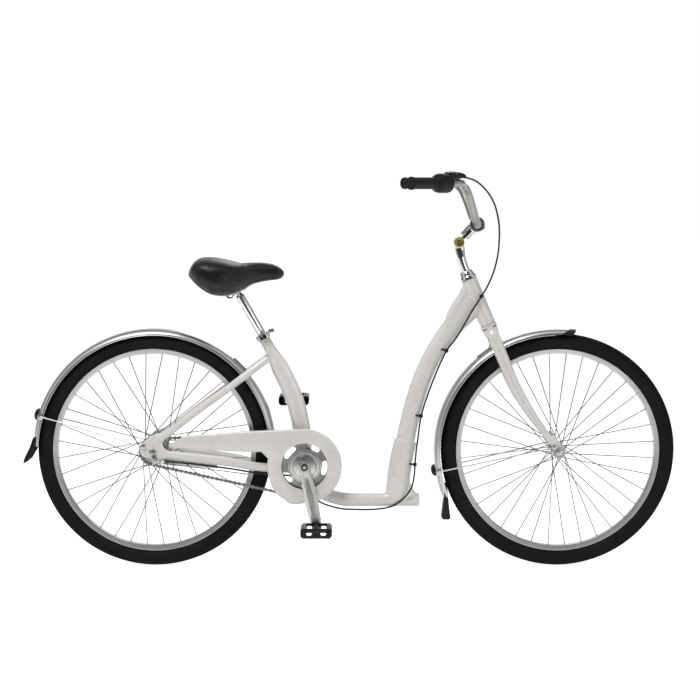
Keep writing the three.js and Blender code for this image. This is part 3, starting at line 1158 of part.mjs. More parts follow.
// Saddle: stations from the tail to the nose, as shares of its length, height and half width: forward, top,
// bottom and half width; a padded cover over a moulded base
const railHeight = clampCentre.z;
const saddle = {
  length: 265, height: 108, halfWidth: 102, tailLength: 131.1, clampDrop: 17.6, wall: 5, pocketDepth: 24,
  pocketHeight: 30, baseThick: 4, railSide: 22, railRadius: 3.5, facets: 12,
};
const saddleShares = [[0, 0.565, 0.454, 0.333], [0.019, 0.75, 0.38, 0.608], [0.087, 0.935, 0.25, 0.843],
  [0.174, 1, 0.102, 0.961], [0.306, 0.981, 0, 1], [0.426, 0.926, 0.046, 0.902], [0.532, 0.852, 0.176, 0.667],
  [0.653, 0.833, 0.296, 0.431], [0.777, 0.87, 0.343, 0.314], [0.891, 0.843, 0.389, 0.265],
  [0.97, 0.704, 0.454, 0.196], [1, 0.62, 0.509, 0.108]];
const saddleSpot = (far, up, side = 0) => from(clampCentre, far * saddle.length - saddle.tailLength, side,
  up * saddle.height - saddle.clampDrop);
const saddleStations = saddleShares.map(([far, top, bottom, half]) =>
  [saddleSpot(far, 0).x, saddleSpot(0, top).z, saddleSpot(0, bottom).z, half * saddle.halfWidth]);
function saddleRing([x, top, bottom, half], shrink = 0) {
  const middle = top - (top - bottom) * 0.45;
  const ring = [];
  for (let i = 0; i < saddle.facets; i++) {
    const angle = (i + 1 / 2) * turn / saddle.facets;
    const [c, s] = [Math.cos(angle), Math.sin(angle)];
    const wide = Math.sign(c) * Math.abs(c) ** 0.75 * (half - shrink);
    const tall = s > 0 ? (top - middle - shrink) * s ** 0.8 : -(middle - bottom) * Math.abs(s) ** 0.7;
    ring.push(at(x, wide, middle + tall));
  }
  return ring;
}

function buildSaddle() {
  const outer = skin(saddleStations.map((row) => saddleRing(row)));
  const pocketRows = saddleStations.slice(2, -1).map(([x, top, bottom, half]) =>
    [x, top - saddle.pocketDepth, bottom - saddle.pocketHeight, half - saddle.wall * 2]);
  const pocket = skin(pocketRows.map((row) => boxRing(row)));
  add('saddle_cover', cut(outer, pocket), vinyl);
  const baseRows = saddleStations.slice(2, -1).map(([x, top, , half], i) => [x + (i ? 0 : seam * 2),
    top - saddle.pocketDepth - seam, top - saddle.pocketDepth - seam - saddle.baseThick, half - saddle.wall * 2 - seam * 2]);
  baseRows.at(-1)[0] -= seam * 2;
  const base = skin(baseRows.map((row) => boxRing(row)));
  add('saddle_base', base, blackPlastic);
}

function boxRing([x, top, bottom, half]) {
  return [at(x, -half, bottom), at(x, half, bottom), at(x, half, top), at(x, -half, top)];
}

// Two rails in one bent wire, held at nose and rear under the base, and the clamp on the post
const railShares = [[0.8755, 0.541, 0.136], [0.819, 0.389, 0.364], [0.721, 0.1815, 0.818], [0.615, 0.163, 1],
  [0.5395, 0.163, 1], [0.4565, 0.163, 1], [0.381, 0.163, 1], [0.275, 0.274, 1.273], [0.177, 0.509, 1.727],
  [0.143, 0.657, 1.909]];
function buildRails() {
  const { railSide, railRadius } = saddle;
  const line = (side) => railShares.map(([far, up, out]) => saddleSpot(far, up, side * out * railSide));
  const wires = [-1, 1].map((side) => tube(line(side), railRadius, 5, 12));
  const noseJoin = rod(from(line(1)[0], 0, -railSide / 3, 0), from(line(1)[0], 0, railSide / 12, 0), railRadius, 8);
  const pads = [-1, 1].map((side) => {
    const [far, , out] = railShares.at(-1);
    return rod(saddleSpot(far, 0.62, side * out * railSide), saddleSpot(far, 0.6963, side * out * railSide),
      railRadius * 1.57, 8);
  });
  add('saddle_rails', join(...wires, ...pads, noseJoin), steel);
  const { halfWidth, innerWidth, radius, strapThick, barrelRadius, capReach } = saddleClamp;
  const cheeks = [-1, 1].map((side) => drum(clampCentre, radius, ...ordered(side * (innerWidth + seam), side * halfWidth),
    12));
  const cap = drum(clampCentre, radius + strapThick, -halfWidth, halfWidth, 12)
    .intersect(strapBox(from(clampCentre, 0, 0, radius + strapThick), radius * 2 / 3, halfWidth + overlap, strapThick));
  const grooves = [-1, 1].map((side) => bored(from(clampCentre, -capReach, side * railSide, 0),
    from(clampCentre, capReach, side * railSide, 0), railRadius + seam * 2, 8));
  const barrelRoom = boredAcross(clampCentre, barrelRadius + seam, -innerWidth - seam, innerWidth + seam, 12);
  add('saddle_clamp', cut(join(...cheeks, cap), barrelRoom, ...grooves), steel);
}

// Stem: curved quill in the steerer, pivoting arm and clamp, and the bolt through the pivot
const stem = {
  pivotHeight: 243, pivotAhead: 14, quillLength: 60, bendLength: 25, bendAhead: 1, curveLength: 52, curveAhead: 6,
  headRadius: 15, headHalf: 9, armLength: 70, armDegrees: 45, armHalf: 17, armRadius: 14, armRootRadius: 16,
  rootRadius: 4, rootGap: 6, clampRadius: 21, clampHalf: 22, sleeveRadius: 12.7, sleeveLength: 8, lugRadius: 6,
  lugLength: 14, lugDrop: 12, headGap: 3, boltHeadRadius: 13, boltHeadThick: 3.5, socketRadius: 8, socketThick: 7,
  pinLength: 5,
};
const stemPivot = onSteer(-stem.pivotHeight, stem.pivotAhead);
const armWay = at(Math.cos(radians(stem.armDegrees)), 0, Math.sin(radians(stem.armDegrees)));
const barClamp = stemPivot.clone().addScaledVector(armWay, stem.armLength);

function buildStem() {
  const { headRadius, headHalf, armHalf, armLength, clampHalf, rootRadius, rootGap, lugDrop, lugLength } = stem;
  const line = [onSteer(-steererTop + stem.quillLength), onSteer(-steererTop),
    onSteer(-steererTop - stem.bendLength, stem.bendAhead), onSteer(-steererTop - stem.curveLength, stem.curveAhead),
    stemPivot.clone()];
  const halves = [[0, quillRadius, quillRadius], [0.75, quillRadius, quillRadius],
    [0.92, headHalf - overlap, quillRadius], [1, headHalf - overlap, quillRadius]];
  const quill = ovalTube(line, 8, 10, (share) => between(halves, share));
  const head = drum(stemPivot, headRadius, -headHalf, headHalf, 12);
  const boltHole = boredAcross(stemPivot, axleRadius + seam, -clampHalf * 2, clampHalf * 2, 10);
  add('stem_quill', cut(join(quill, head), boltHole), chrome);
  const inner = headHalf + seam;
  const alongArm = (far) => stemPivot.clone().addScaledVector(armWay, far);
  const cheeks = [-1, 1].map((side) => {
    const root = from(stemPivot, 0, side * (inner + rootRadius), 0);
    const disc = drum(stemPivot, headRadius, ...ordered(side * inner, side * armHalf), 12);
    const far = alongArm(armLength / 2).add(at(0, side * (inner + rootRadius / 2), 0));
    return join(disc, rod(root, far, rootRadius, 6)
      .intersect(drum(stemPivot, armLength * 2, ...ordered(side * inner, side * clampHalf * 2), 8)));
  });
  const neck = rod(alongArm(headRadius + rootGap), barClamp, stem.armRadius, 10, stem.armRootRadius);
  const clamp = drum(barClamp, stem.clampRadius, -clampHalf, clampHalf, 12);
  const barHole = boredAcross(barClamp, stem.sleeveRadius + seam, -clampHalf * 2, clampHalf * 2, 12);
  const lugStart = alongArm(armLength + lugLength * 0.7);
  const lug = rod(from(lugStart, 0, 0, -lugDrop), from(lugStart, lugLength, 0, -lugDrop - lugLength / 2),
    stem.lugRadius, 8);
  const headRoom = boredAcross(stemPivot, headRadius + seam * stem.headGap, -inner, inner, 12);
  add('stem_arm', cut(join(...cheeks, neck, clamp, lug), barHole, boltHole, headRoom), chrome);
  const outside = armHalf + seam;
  const pinEnd = outside + stem.pinLength;
  const headEnd = outside + stem.boltHeadThick;
  const pin = join(drum(stemPivot, axleRadius, -pinEnd, pinEnd, 10),
    drum(stemPivot, stem.boltHeadRadius, -headEnd, -outside, 16),
    drum(stemPivot, stem.socketRadius, -outside - stem.socketThick, overlap - headEnd, 10),
    drum(stemPivot, stem.boltHeadRadius, outside, headEnd, 16));
  add('stem_pivot_bolt', pin, zinc);
}

// Handlebar: rises from the clamp, sweeps out and back; the same line serves both sides
const bar = { gripBackLength: 192.6, gripDegrees: 44, bendLength: 190, runLength: 172, midLength: 140, endLength: 4, sleeveWidth: 30 };
const gripWay = (side) => at(-Math.cos(radians(bar.gripDegrees)), side * Math.sin(radians(bar.gripDegrees)), 0);
const gripEnd = (side) => at(barClamp.x - bar.gripBackLength, side * gripReach, gripHeight);
const alongGrip = (side, back) => gripEnd(side).addScaledVector(gripWay(side), -back);
const barShares = [[0, 0.167, 0], [0.143, 0.298, 0.159], [0.376, 0.476, 0.511], [0.608, 0.643, 0.811],
  [0.841, 0.792, 0.947]];
function barLine(side) {
  const top = alongGrip(side, bar.bendLength);
  const rise = barShares.map(([ahead, out, up]) => placed(barClamp, top, ahead, up, out * top.y));
  const run = [bar.runLength, bar.midLength, bar.endLength].map((back) => alongGrip(side, back));
  return [...rise, top, ...run];
}

function buildHandlebar() {
  const halves = [-1, 1].map((side) =>
    tube([from(barClamp, 0, side * bar.sleeveWidth * 2 / 3, 0), ...barLine(side)], barRadius, 8, 12));
  const sleeve = drum(barClamp, stem.sleeveRadius, -bar.sleeveWidth, bar.sleeveWidth, 10);
  add('handlebar', join(...halves, sleeve), alloy);
}

const grip = {
  radius: 16, waistRadius: 15, capRadius: 17.5, flangeRadius: 20, length: 128, shortLength: 92, plugThick: 2,
  capThick: 6, boreDepth: 3.6, shiftLength: 50, shiftRadius: 26,
};
const housing = {
  length: 26, coneLength: 14.3, radius: 22, backRadius: 19, exitLength: 194, exitSide: 15, exitHeight: 16,
  exitBase: 8, exitRise: 14, exitRadius: 6, exitTipRadius: 4.5,
};
function gripSolid(side, length) {
  const { waistRadius, radius, capRadius, capThick, flangeRadius } = grip;
  const start = alongGrip(side, -grip.plugThick);
  const hole = bored(alongGrip(side, grip.boreDepth), alongGrip(side, length + overrun), barRadius + seam, 8);
  const body = join(rod(start, alongGrip(side, length), waistRadius, 10, radius),
    rod(start, alongGrip(side, capThick), capRadius, 10),
    rod(alongGrip(side, length - capThick), alongGrip(side, length), radius, 10, flangeRadius));
  return cut(body, hole);
}

function buildGrips() {
  add('right_grip', gripSolid(-1, grip.shortLength), rubber);
  add('left_grip', gripSolid(1, grip.length), rubber);
  const along = (back) => alongGrip(-1, back);
  const start = grip.shortLength + seam;
  const slope = start + grip.shiftLength * 0.3;
  const end = start + grip.shiftLength;
  const rotor = join(rod(along(start), along(slope), grip.flangeRadius, 16, grip.shiftRadius),
    rod(along(slope), along(end), grip.shiftRadius, 16));
  const hole = bored(along(0), along(end * 2), barRadius + runningGap, 12);
  add('shifter_twist_sleeve', cut(rotor, hole), rubber);
  const base = end + seam;
  const body = join(
    rod(along(base), along(base + housing.coneLength), housing.radius, 12),
    rod(along(base + housing.exitBase).add(at(0, 0, housing.exitRise)), shifterExit.clone(), housing.exitRadius, 8,
      housing.exitTipRadius),
    rod(along(base), along(base + housing.length), housing.backRadius, 10),
  );
  add('shifter_housing', cut(body, hole), blackPlastic);
}

// The cable above the frame: from the shifter to a midway point, and on to the clip on the head tube
const gripSideways = at(-gripWay(-1).y, gripWay(-1).x, 0);
const shifterExit = alongGrip(-1, housing.exitLength).addScaledVector(gripSideways, housing.exitSide)
  .add(at(0, 0, housing.exitHeight));
const looseCableHeight = 222;
const looseCableReach = 122.3;
const looseCableWidth = 60;
const cableMid = onSteer(-looseCableHeight, looseCableReach, -looseCableWidth);
const between3 = (start, end, rows) => rows.map(([x, y, z]) => at(start.x + (end.x - start.x) * x,
  start.y + (end.y - start.y) * y, start.z + (end.z - start.z) * z));
const upperCableLine = [shifterExit.clone(), ...between3(shifterExit, cableMid, [[0.307, 0.224, 0.071],
  [0.614, 0.466, 0.244], [0.842, 0.707, 0.481], [0.97, 0.897, 0.782]]), cableMid.clone()];
const lowerCableLine = [cableMid.clone(), ...between3(cableMid, cableLine[0], [[0.043, 0.452, 0.291],
  [0.283, 0.774, 0.593], [0.652, 0.968, 0.837]]), cableLine[0].clone()];

function buildCables() {
  const { radius, sides } = cable;
  const clip = tube(cableLine, radius, sides, 32);
  add('shift_cable_frame', clip, rubber);
  const step = (a, b) => b.clone().sub(a).normalize().multiplyScalar(seam);
  const upper = [...upperCableLine];
  upper[0] = upper[0].clone().add(step(upper[0], upper[1]).multiplyScalar(4));
  add('shift_cable_bars', tube(upper, radius, sides, 10), rubber);
  const lower = [...lowerCableLine];
  lower[0] = lower[0].clone().add(step(lower[0], lower[1]));
  lower[lower.length - 1] = lower.at(-1).clone().add(step(lower.at(-1), lower.at(-2)));
  add('shift_cable_steering', tube(lower, radius, sides, 8), rubber);
}

buildFrontFrame();
buildSeatTube();
buildBracketCups();
buildStays();
buildHeadset();
buildFork();
buildTyre('rear_tyre', rearAxle);
buildTyre('front_tyre', frontAxle);
buildRim('rear_rim', rearAxle);
buildRim('front_rim', frontAxle);
buildRearHub();
buildFrontHub();
buildAxles();
buildChain();
buildSprocket();
buildChainwheel();
buildCranks();
buildPedals();
buildChainGuard();
buildGuardBracket();
buildMudguards();
buildFlaps();
buildBraces();
buildBrackets();
buildBrakeArm();
buildShiftUnit();
buildSeatClamp();
buildSeatPost();
buildSaddle();
buildRails();
buildStem();
buildHandlebar();
buildGrips();
buildCables();

// The origin is on the ground, midway between the bike's ends
const box = new THREE.Box3().setFromObject(bike);
bike.position.set(-(box.min.x + box.max.x) / 2, -(box.min.y + box.max.y) / 2, -box.min.z);
bike.updateMatrixWorld(true);

export default bike;
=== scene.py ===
"""Dresses the step-through bike: smooth tubes, knobby tyres, laced wheels, a real chain and a padded saddle."""
import json
import math

import bmesh
import bpy
from mathutils import Matrix, Vector
from mathutils.bvhtree import BVHTree

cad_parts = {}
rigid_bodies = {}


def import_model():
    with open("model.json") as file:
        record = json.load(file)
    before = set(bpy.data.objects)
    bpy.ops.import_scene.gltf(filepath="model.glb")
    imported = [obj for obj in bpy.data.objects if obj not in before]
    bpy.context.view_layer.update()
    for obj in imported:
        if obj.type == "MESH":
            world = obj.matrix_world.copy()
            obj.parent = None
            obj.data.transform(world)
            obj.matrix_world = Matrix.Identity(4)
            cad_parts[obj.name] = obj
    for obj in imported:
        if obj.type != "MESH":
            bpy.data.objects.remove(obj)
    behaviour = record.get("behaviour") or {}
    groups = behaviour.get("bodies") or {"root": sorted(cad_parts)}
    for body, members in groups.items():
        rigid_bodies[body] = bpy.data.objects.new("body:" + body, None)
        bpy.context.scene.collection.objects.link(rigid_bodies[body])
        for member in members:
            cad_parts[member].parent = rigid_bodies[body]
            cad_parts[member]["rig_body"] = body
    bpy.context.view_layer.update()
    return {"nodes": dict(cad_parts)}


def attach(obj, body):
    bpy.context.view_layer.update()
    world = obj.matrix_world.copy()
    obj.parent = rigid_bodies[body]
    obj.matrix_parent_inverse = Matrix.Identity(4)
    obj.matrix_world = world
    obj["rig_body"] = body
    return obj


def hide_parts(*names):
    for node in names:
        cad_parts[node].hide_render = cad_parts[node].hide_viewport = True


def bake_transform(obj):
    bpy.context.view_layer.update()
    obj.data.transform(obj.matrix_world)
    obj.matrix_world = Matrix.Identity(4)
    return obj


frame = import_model()
nodes = frame["nodes"]

# The bike's own millimetres, counted from under the rear axle, turned into the frame's metres
MM = 0.001
MIDDLE = 543.0644
ACROSS = Vector((0, 1, 0))
TURN = 2 * math.pi
SIDES = ((-1, "right"), (1, "left"))


def at(x, y, z):
    """A spot in the bike's own millimetres."""
    return Vector(((x - MIDDLE) * MM, y * MM, z * MM))


def in_plane(points, side=0.0):
    """Spots from (x, z) pairs, all at one side of the bike."""
    return [at(x, side, z) for x, z in points]


def polar(centre, radius, angle, side=0.0):
    """A point in a wheel's plane, with radius and side in millimetres."""
    return centre + Vector((radius * math.cos(angle), side, radius * math.sin(angle))) * MM


AXLE_HEIGHT = 326.5
REAR_AXLE = at(0, 0, AXLE_HEIGHT)
WHEELBASE = 1127
FRONT_AXLE = at(WHEELBASE, 0, AXLE_HEIGHT)
HEAD_ANGLE = math.radians(67)
STEER_DOWN = Vector((math.cos(HEAD_ANGLE), 0, -math.sin(HEAD_ANGLE)))
STEER_AHEAD = Vector((math.sin(HEAD_ANGLE), 0, math.cos(HEAD_ANGLE)))
HEAD_BASE = FRONT_AXLE - STEER_DOWN * 0.400 - STEER_AHEAD * 0.043
SEAT_LEAN = math.radians(29.5)
SEAT_UP = Vector((-math.sin(SEAT_LEAN), 0, math.cos(SEAT_LEAN)))
SEAT_AHEAD = Vector((math.cos(SEAT_LEAN), 0, math.sin(SEAT_LEAN)))
SEAT_TOP = at(300, 0, 651)

PITCH = 12.7
RING_TEETH, SPROCKET_TEETH = 44, 18
RING_RADIUS = PITCH / (2 * math.sin(math.pi / RING_TEETH))
SPROCKET_RADIUS = PITCH / (2 * math.sin(math.pi / SPROCKET_TEETH))
RING_WRAP, SPROCKET_WRAP, RUN = 24, 8, 33
RING_ANGLE = RING_WRAP * math.pi / RING_TEETH
SPROCKET_ANGLE = SPROCKET_WRAP * math.pi / SPROCKET_TEETH
CHAIN_RISE = RING_RADIUS * math.sin(RING_ANGLE) - SPROCKET_RADIUS * math.sin(SPROCKET_ANGLE)
CHAIN_STAY = (math.sqrt((RUN * PITCH) ** 2 - CHAIN_RISE**2) - RING_RADIUS * math.cos(RING_ANGLE)
              - SPROCKET_RADIUS * math.cos(SPROCKET_ANGLE))
BRACKET_HEIGHT = 287
BRACKET = at(math.sqrt(CHAIN_STAY**2 - (AXLE_HEIGHT - BRACKET_HEIGHT) ** 2), 0, BRACKET_HEIGHT)
CHAIN_LINE = -45.0


def on_steer(down, ahead=0.0, side=0.0):
    return HEAD_BASE + (STEER_DOWN * down + STEER_AHEAD * ahead + ACROSS * side) * MM


def on_seat(up, ahead=0.0, side=0.0):
    return SEAT_TOP + (SEAT_UP * up + SEAT_AHEAD * ahead + ACROSS * side) * MM


# Curves and outlines

def spline(points, count):
    """Evenly spaced points on a centripetal Catmull-Rom curve through the given ones."""
    ends = [points[0] * 2 - points[1], *points, points[-1] * 2 - points[-2]]
    fine = []
    for p0, p1, p2, p3 in zip(ends, ends[1:], ends[2:], ends[3:]):
        d0, d1, d2 = (max((b - a).length, 1e-9) ** 0.5 for a, b in ((p0, p1), (p1, p2), (p2, p3)))
        m1 = ((p1 - p0) / d0 - (p2 - p0) / (d0 + d1) + (p2 - p1) / d1) * d1
        m2 = ((p2 - p1) / d1 - (p3 - p1) / (d1 + d2) + (p3 - p2) / d2) * d1
        for step in range(24):
            t = step / 24
            fine.append(p1 * (2 * t**3 - 3 * t**2 + 1) + m1 * (t**3 - 2 * t**2 + t)
                        + p2 * (3 * t**2 - 2 * t**3) + m2 * (t**3 - t**2))
    fine.append(points[-1].copy())
    return evenly(fine, count)


def evenly(line, count):
    """The same line as count + 1 points at equal distances."""
    reach = [0.0]
    for a, b in zip(line, line[1:]):
        reach.append(reach[-1] + (b - a).length)
    found, k = [], 0
    for i in range(count + 1):
        goal = reach[-1] * i / count
        while k < len(line) - 2 and reach[k + 1] < goal:
            k += 1
        span = max(reach[k + 1] - reach[k], 1e-9)
        found.append(line[k].lerp(line[k + 1], min(1, (goal - reach[k]) / span)))
    return found


def stops(table, share):
    """Values read off rows of (share, value, ...) with straight lines between them."""
    for low, high in zip(table, table[1:]):
        if share <= high[0]:
            t = (share - low[0]) / (high[0] - low[0])
            return [a + (b - a) * max(0, t) for a, b in zip(low[1:], high[1:])]
    return list(table[-1][1:])


def mirrored(half, *middle):
    """An outline of (distance, radius) points from its half on the far side and what lies between the halves."""
    return [*((-far, out) for far, out in half), *middle, *half[::-1]]


# Meshes

def in_scene(name, data):
    obj = bpy.data.objects.new(name, data)
    bpy.context.scene.collection.objects.link(obj)
    return obj


def as_mesh(name, bm):
    """Hands a finished bmesh over as a mesh."""
    mesh = bpy.data.meshes.new(name)
    bm.to_mesh(mesh)
    bm.free()
    return mesh


def new_verts(made):
    """The vertices among what a bmesh operator made."""
    return [g for g in made["geom"] if isinstance(g, bmesh.types.BMVert)]


def placed(spot, along, side, wide, tall):
    """A ring's place: X across it, Y through its depth and Z along it, with its halves in millimetres."""
    along = along.normalized()
    side = (side - along * along.dot(side)).normalized()
    turned_to = Matrix((side * wide * MM, along.cross(side) * tall * MM, along)).transposed().to_4x4()
    return Matrix.Translation(spot) @ turned_to


def swept(places, sides, section=None):
    """A closed skin: one ring is extruded and carried from place to place. section may reshape the first ring."""
    bm = bmesh.new()
    bmesh.ops.create_circle(bm, cap_ends=False, segments=sides, radius=1.0)
    if section:
        section(bm.verts)
    bmesh.ops.transform(bm, matrix=places[0], verts=bm.verts)
    loop = bm.edges[:]
    ends = loop[:]
    for old, new in zip(places, places[1:]):
        made = bmesh.ops.extrude_edge_only(bm, edges=loop)
        loop = [g for g in made["geom"] if isinstance(g, bmesh.types.BMEdge) and g.is_boundary]
        bmesh.ops.transform(bm, matrix=new @ old.inverted(), verts=new_verts(made))
    bmesh.ops.holes_fill(bm, edges=ends + loop, sides=0)
    bmesh.ops.recalc_face_normals(bm, faces=bm.faces)
    return bm


def tube(points, count, sides, size, flat=False):
    """A tube along a smooth line, with size as its radius or as rows of (share of its length, half width, half depth).

    A flat tube keeps its width across the bike, and another carries its direction round the bends.
    """
    line = spline(points, count) if len(points) > 2 else evenly(points, count)
    side = ACROSS if flat else (line[1] - line[0]).orthogonal()
    places = []
    for i, spot in enumerate(line):
        along = (line[min(i + 1, count)] - line[max(i - 1, 0)]).normalized()
        side = side if flat else side - along * side.dot(along)
        wide, tall = stops(size, i / count) if isinstance(size, list) else (size, size)
        places.append(placed(spot, along, side, wide, tall))
    return swept(places, sides)


def turned(origin, axis, outline, segments=48):
    """A body spun round an axis from (distance along, radius) points in millimetres."""
    axis = Vector(axis).normalized()
    out = axis.orthogonal().normalized()
    bm = bmesh.new()
    rim = [bm.verts.new(origin + (axis * far + out * radius) * MM) for far, radius in outline]
    ends = [] if outline[0][1] + outline[-1][1] == 0 else [(rim[-1], rim[0])]
    for pair in [*zip(rim, rim[1:]), *ends]:
        bm.edges.new(pair)
    bmesh.ops.spin(bm, geom=bm.verts[:] + bm.edges[:], cent=origin, axis=axis, angle=TURN, steps=segments,
                   use_merge=True)
    bmesh.ops.remove_doubles(bm, verts=bm.verts, dist=1e-6)
    bmesh.ops.recalc_face_normals(bm, faces=bm.faces)
    return bm


def add_rod(bm, start, end, radius, sides):
    """Adds a plain round bar between two points."""
    along = end - start
    place = Matrix.Translation((start + end) / 2) @ along.to_track_quat("Z", "Y").to_matrix().to_4x4()
    bmesh.ops.create_cone(bm, cap_ends=True, segments=sides, radius1=radius * MM, radius2=radius * MM,
                          depth=along.length, matrix=place)


def everything(bm):
    return bm.verts[:] + bm.edges[:] + bm.faces[:]


def all_round(bm, centre, count):
    """Repeats what is in a bmesh evenly round a wheel's axle."""
    bmesh.ops.spin(bm, geom=everything(bm), cent=centre, axis=ACROSS, angle=TURN * (count - 1) / count,
                   steps=count - 1, use_duplicate=True)


def primitive(make, place, length, **settings):
    """A unit shape stretched into a place and to a length in millimetres."""
    bm = bmesh.new()
    make(bm, **settings)
    bmesh.ops.transform(bm, matrix=place @ Matrix.Diagonal((1, 1, length * MM, 1)), verts=bm.verts)
    return bm


def block(place, length):
    return primitive(bmesh.ops.create_cube, place, length, size=1.0)


def ball(place, length):
    return primitive(bmesh.ops.create_uvsphere, place, length, u_segments=24, v_segments=12, radius=1.0)


def thickened(bm, thick):
    """Fills the outlines in a bmesh and pushes the sheet out along Y, in millimetres."""
    bmesh.ops.triangle_fill(bm, edges=bm.edges, use_beauty=True, use_dissolve=False)
    made = bmesh.ops.extrude_face_region(bm, geom=bm.faces[:])
    bmesh.ops.translate(bm, verts=new_verts(made), vec=(0, thick * MM, 0))
    bmesh.ops.recalc_face_normals(bm, faces=bm.faces)
    bmesh.ops.dissolve_limit(bm, angle_limit=0.01, verts=bm.verts, edges=bm.edges)
    return bm


def prism(outline, low, high):
    """A plate in the bike's plane from (x, z) points, between two sides."""
    bm = bmesh.new()
    ring = [bm.verts.new(spot) for spot in in_plane(outline, low)]
    for pair in zip(ring, ring[1:] + ring[:1]):
        bm.edges.new(pair)
    return thickened(bm, high - low)


def together(parts):
    """Several bmeshes as one."""
    whole = bmesh.new()
    for part in parts:
        mesh = as_mesh("part", part)
        whole.from_mesh(mesh)
        bpy.data.meshes.remove(mesh)
    return whole


def piece(name, bm, material, body, *replaced, slot=None, sharp=35, modifiers=()):
    """Puts a finished bmesh in the scene as one named piece that rides on a body.

    A body given as (one, other, start, end) leaves the piece on no body, with its place baked into its mesh.
    """
    slot = slot or SLOTS[material.name]
    obj = in_scene(name, as_mesh(name, bm))
    for kind, settings in modifiers:
        modifier = obj.modifiers.new(kind, kind)
        for key, value in settings.items():
            setattr(modifier, key, value)
    if modifiers:
        settle(obj)
    obj.data.shade_smooth()
    obj.data.set_sharp_from_angle(angle=math.radians(sharp))
    obj.data.materials.clear()
    obj.data.materials.append(material)
    if isinstance(body, tuple):
        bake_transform(obj)
    else:
        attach(obj, body)
    if replaced:
        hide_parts(*replaced)
    return obj


def settle(obj):
    """Applies an object's modifiers to its mesh."""
    bpy.context.view_layer.update()
    evaluated = obj.evaluated_get(bpy.context.evaluated_depsgraph_get())
    mesh = bpy.data.meshes.new_from_object(evaluated)
    obj.modifiers.clear()
    obj.data = mesh


def bevel(width, segments=2, angle=30):
    """A modifier that rounds edges, with its width in millimetres."""
    return ("BEVEL", {"width": width * MM, "segments": segments, "limit_method": "ANGLE",
                      "angle_limit": math.radians(angle), "harden_normals": False})


def sheet(thickness, offset=-1):
    """A modifier that gives a skin its thickness in millimetres."""
    return ("SOLIDIFY", {"thickness": thickness * MM, "offset": offset})


def welded(voxel, rounds=4):
    """Modifiers that melt overlapping tubes into one skin with soft fillets, as a painted weld has."""
    return [("REMESH", {"mode": "VOXEL", "voxel_size": voxel * MM, "adaptivity": 0.0}),
            ("SMOOTH", {"factor": 0.5, "iterations": rounds})]


def from_node(name, material, width, segments=2):
    """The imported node's own shape with rounded edges."""
    bm = bmesh.new()
    bm.from_mesh(nodes[name].data)
    bmesh.ops.remove_doubles(bm, verts=bm.verts, dist=0.02 * MM)
    bmesh.ops.dissolve_limit(bm, angle_limit=math.radians(1), verts=bm.verts, edges=bm.edges)
    piece(f"{name}_fine", bm, material, nodes[name]["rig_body"], name, modifiers=[bevel(width, segments)])


# Materials: every finish is colour patches, uneven gloss and fine relief on a Principled shader

SLOTS = {}


def plug(tree, socket, value):
    """Gives a shader input a value, or links it to another socket."""
    if isinstance(value, bpy.types.NodeSocket):
        tree.links.new(value, socket)
    else:
        socket.default_value = value


def feed(tree, node, **inputs):
    for name, value in inputs.items():
        plug(tree, node.inputs[name.replace("_", " ")], value)


def shader_node(tree, kind, output, **inputs):
    """Adds a node with its inputs fed, and returns one of its outputs."""
    node = tree.nodes.new(f"ShaderNode{kind}")
    feed(tree, node, **inputs)
    return node.outputs[output]


def combined(tree, operation, first, second):
    node = tree.nodes.new("ShaderNodeMath")
    node.operation = operation
    plug(tree, node.inputs[0], first)
    plug(tree, node.inputs[1], second)
    return node.outputs["Value"]


def ramp(tree, factor, shades):
    """A colour ramp from rows of (position, red, green, blue)."""
    node = tree.nodes.new("ShaderNodeValToRGB")
    elements = node.color_ramp.elements
    while len(elements) < len(shades):
        elements.new(0.5)
    for element, (spot, *colour) in zip(elements, shades):
        element.position = spot
        element.color = (*colour, 1)
    tree.links.new(factor, node.inputs["Fac"])
    return node.outputs["Color"]


def finish(name, slot, tints, roughness, metallic=0.0, patch=4.0, grain=900.0, bump=0.05, depth=0.0002, spread=0.06,
           stretch=(1, 1, 1), coat=0.0, cells=False, specular=0.5):
    """One material, with its slot noted in SLOTS."""
    SLOTS[name] = slot
    material = bpy.data.materials.new(name)
    material.use_nodes = True
    tree = material.node_tree
    place = shader_node(tree, "TexCoord", "Object")
    place = shader_node(tree, "Mapping", "Vector", Vector=place, Scale=stretch)

    def noise(size, detail=4.0):
        return shader_node(tree, "TexNoise", "Fac", Vector=place, Scale=size, Detail=detail)

    edges = (0.35, 0.65) if len(tints) == 2 else (0.35, 0.5, 0.65)
    colour = ramp(tree, noise(patch), [(edge, *tint) for edge, tint in zip(edges, tints)])
    gloss = shader_node(tree, "MapRange", "Result", Value=noise(patch * 14), To_Min=max(0.02, roughness - spread),
                        To_Max=min(1.0, roughness + spread))
    if cells:
        height = shader_node(tree, "TexVoronoi", "Distance", Vector=place, Scale=grain)
    else:
        height = noise(grain, 2.0)
    relief = shader_node(tree, "Bump", "Normal", Strength=bump, Distance=depth, Height=height)
    feed(tree, tree.nodes["Principled BSDF"], Metallic=metallic, Coat_Weight=coat, Coat_Roughness=0.08,
         Specular_IOR_Level=specular, Base_Color=colour, Roughness=gloss, Normal=relief)
    return material


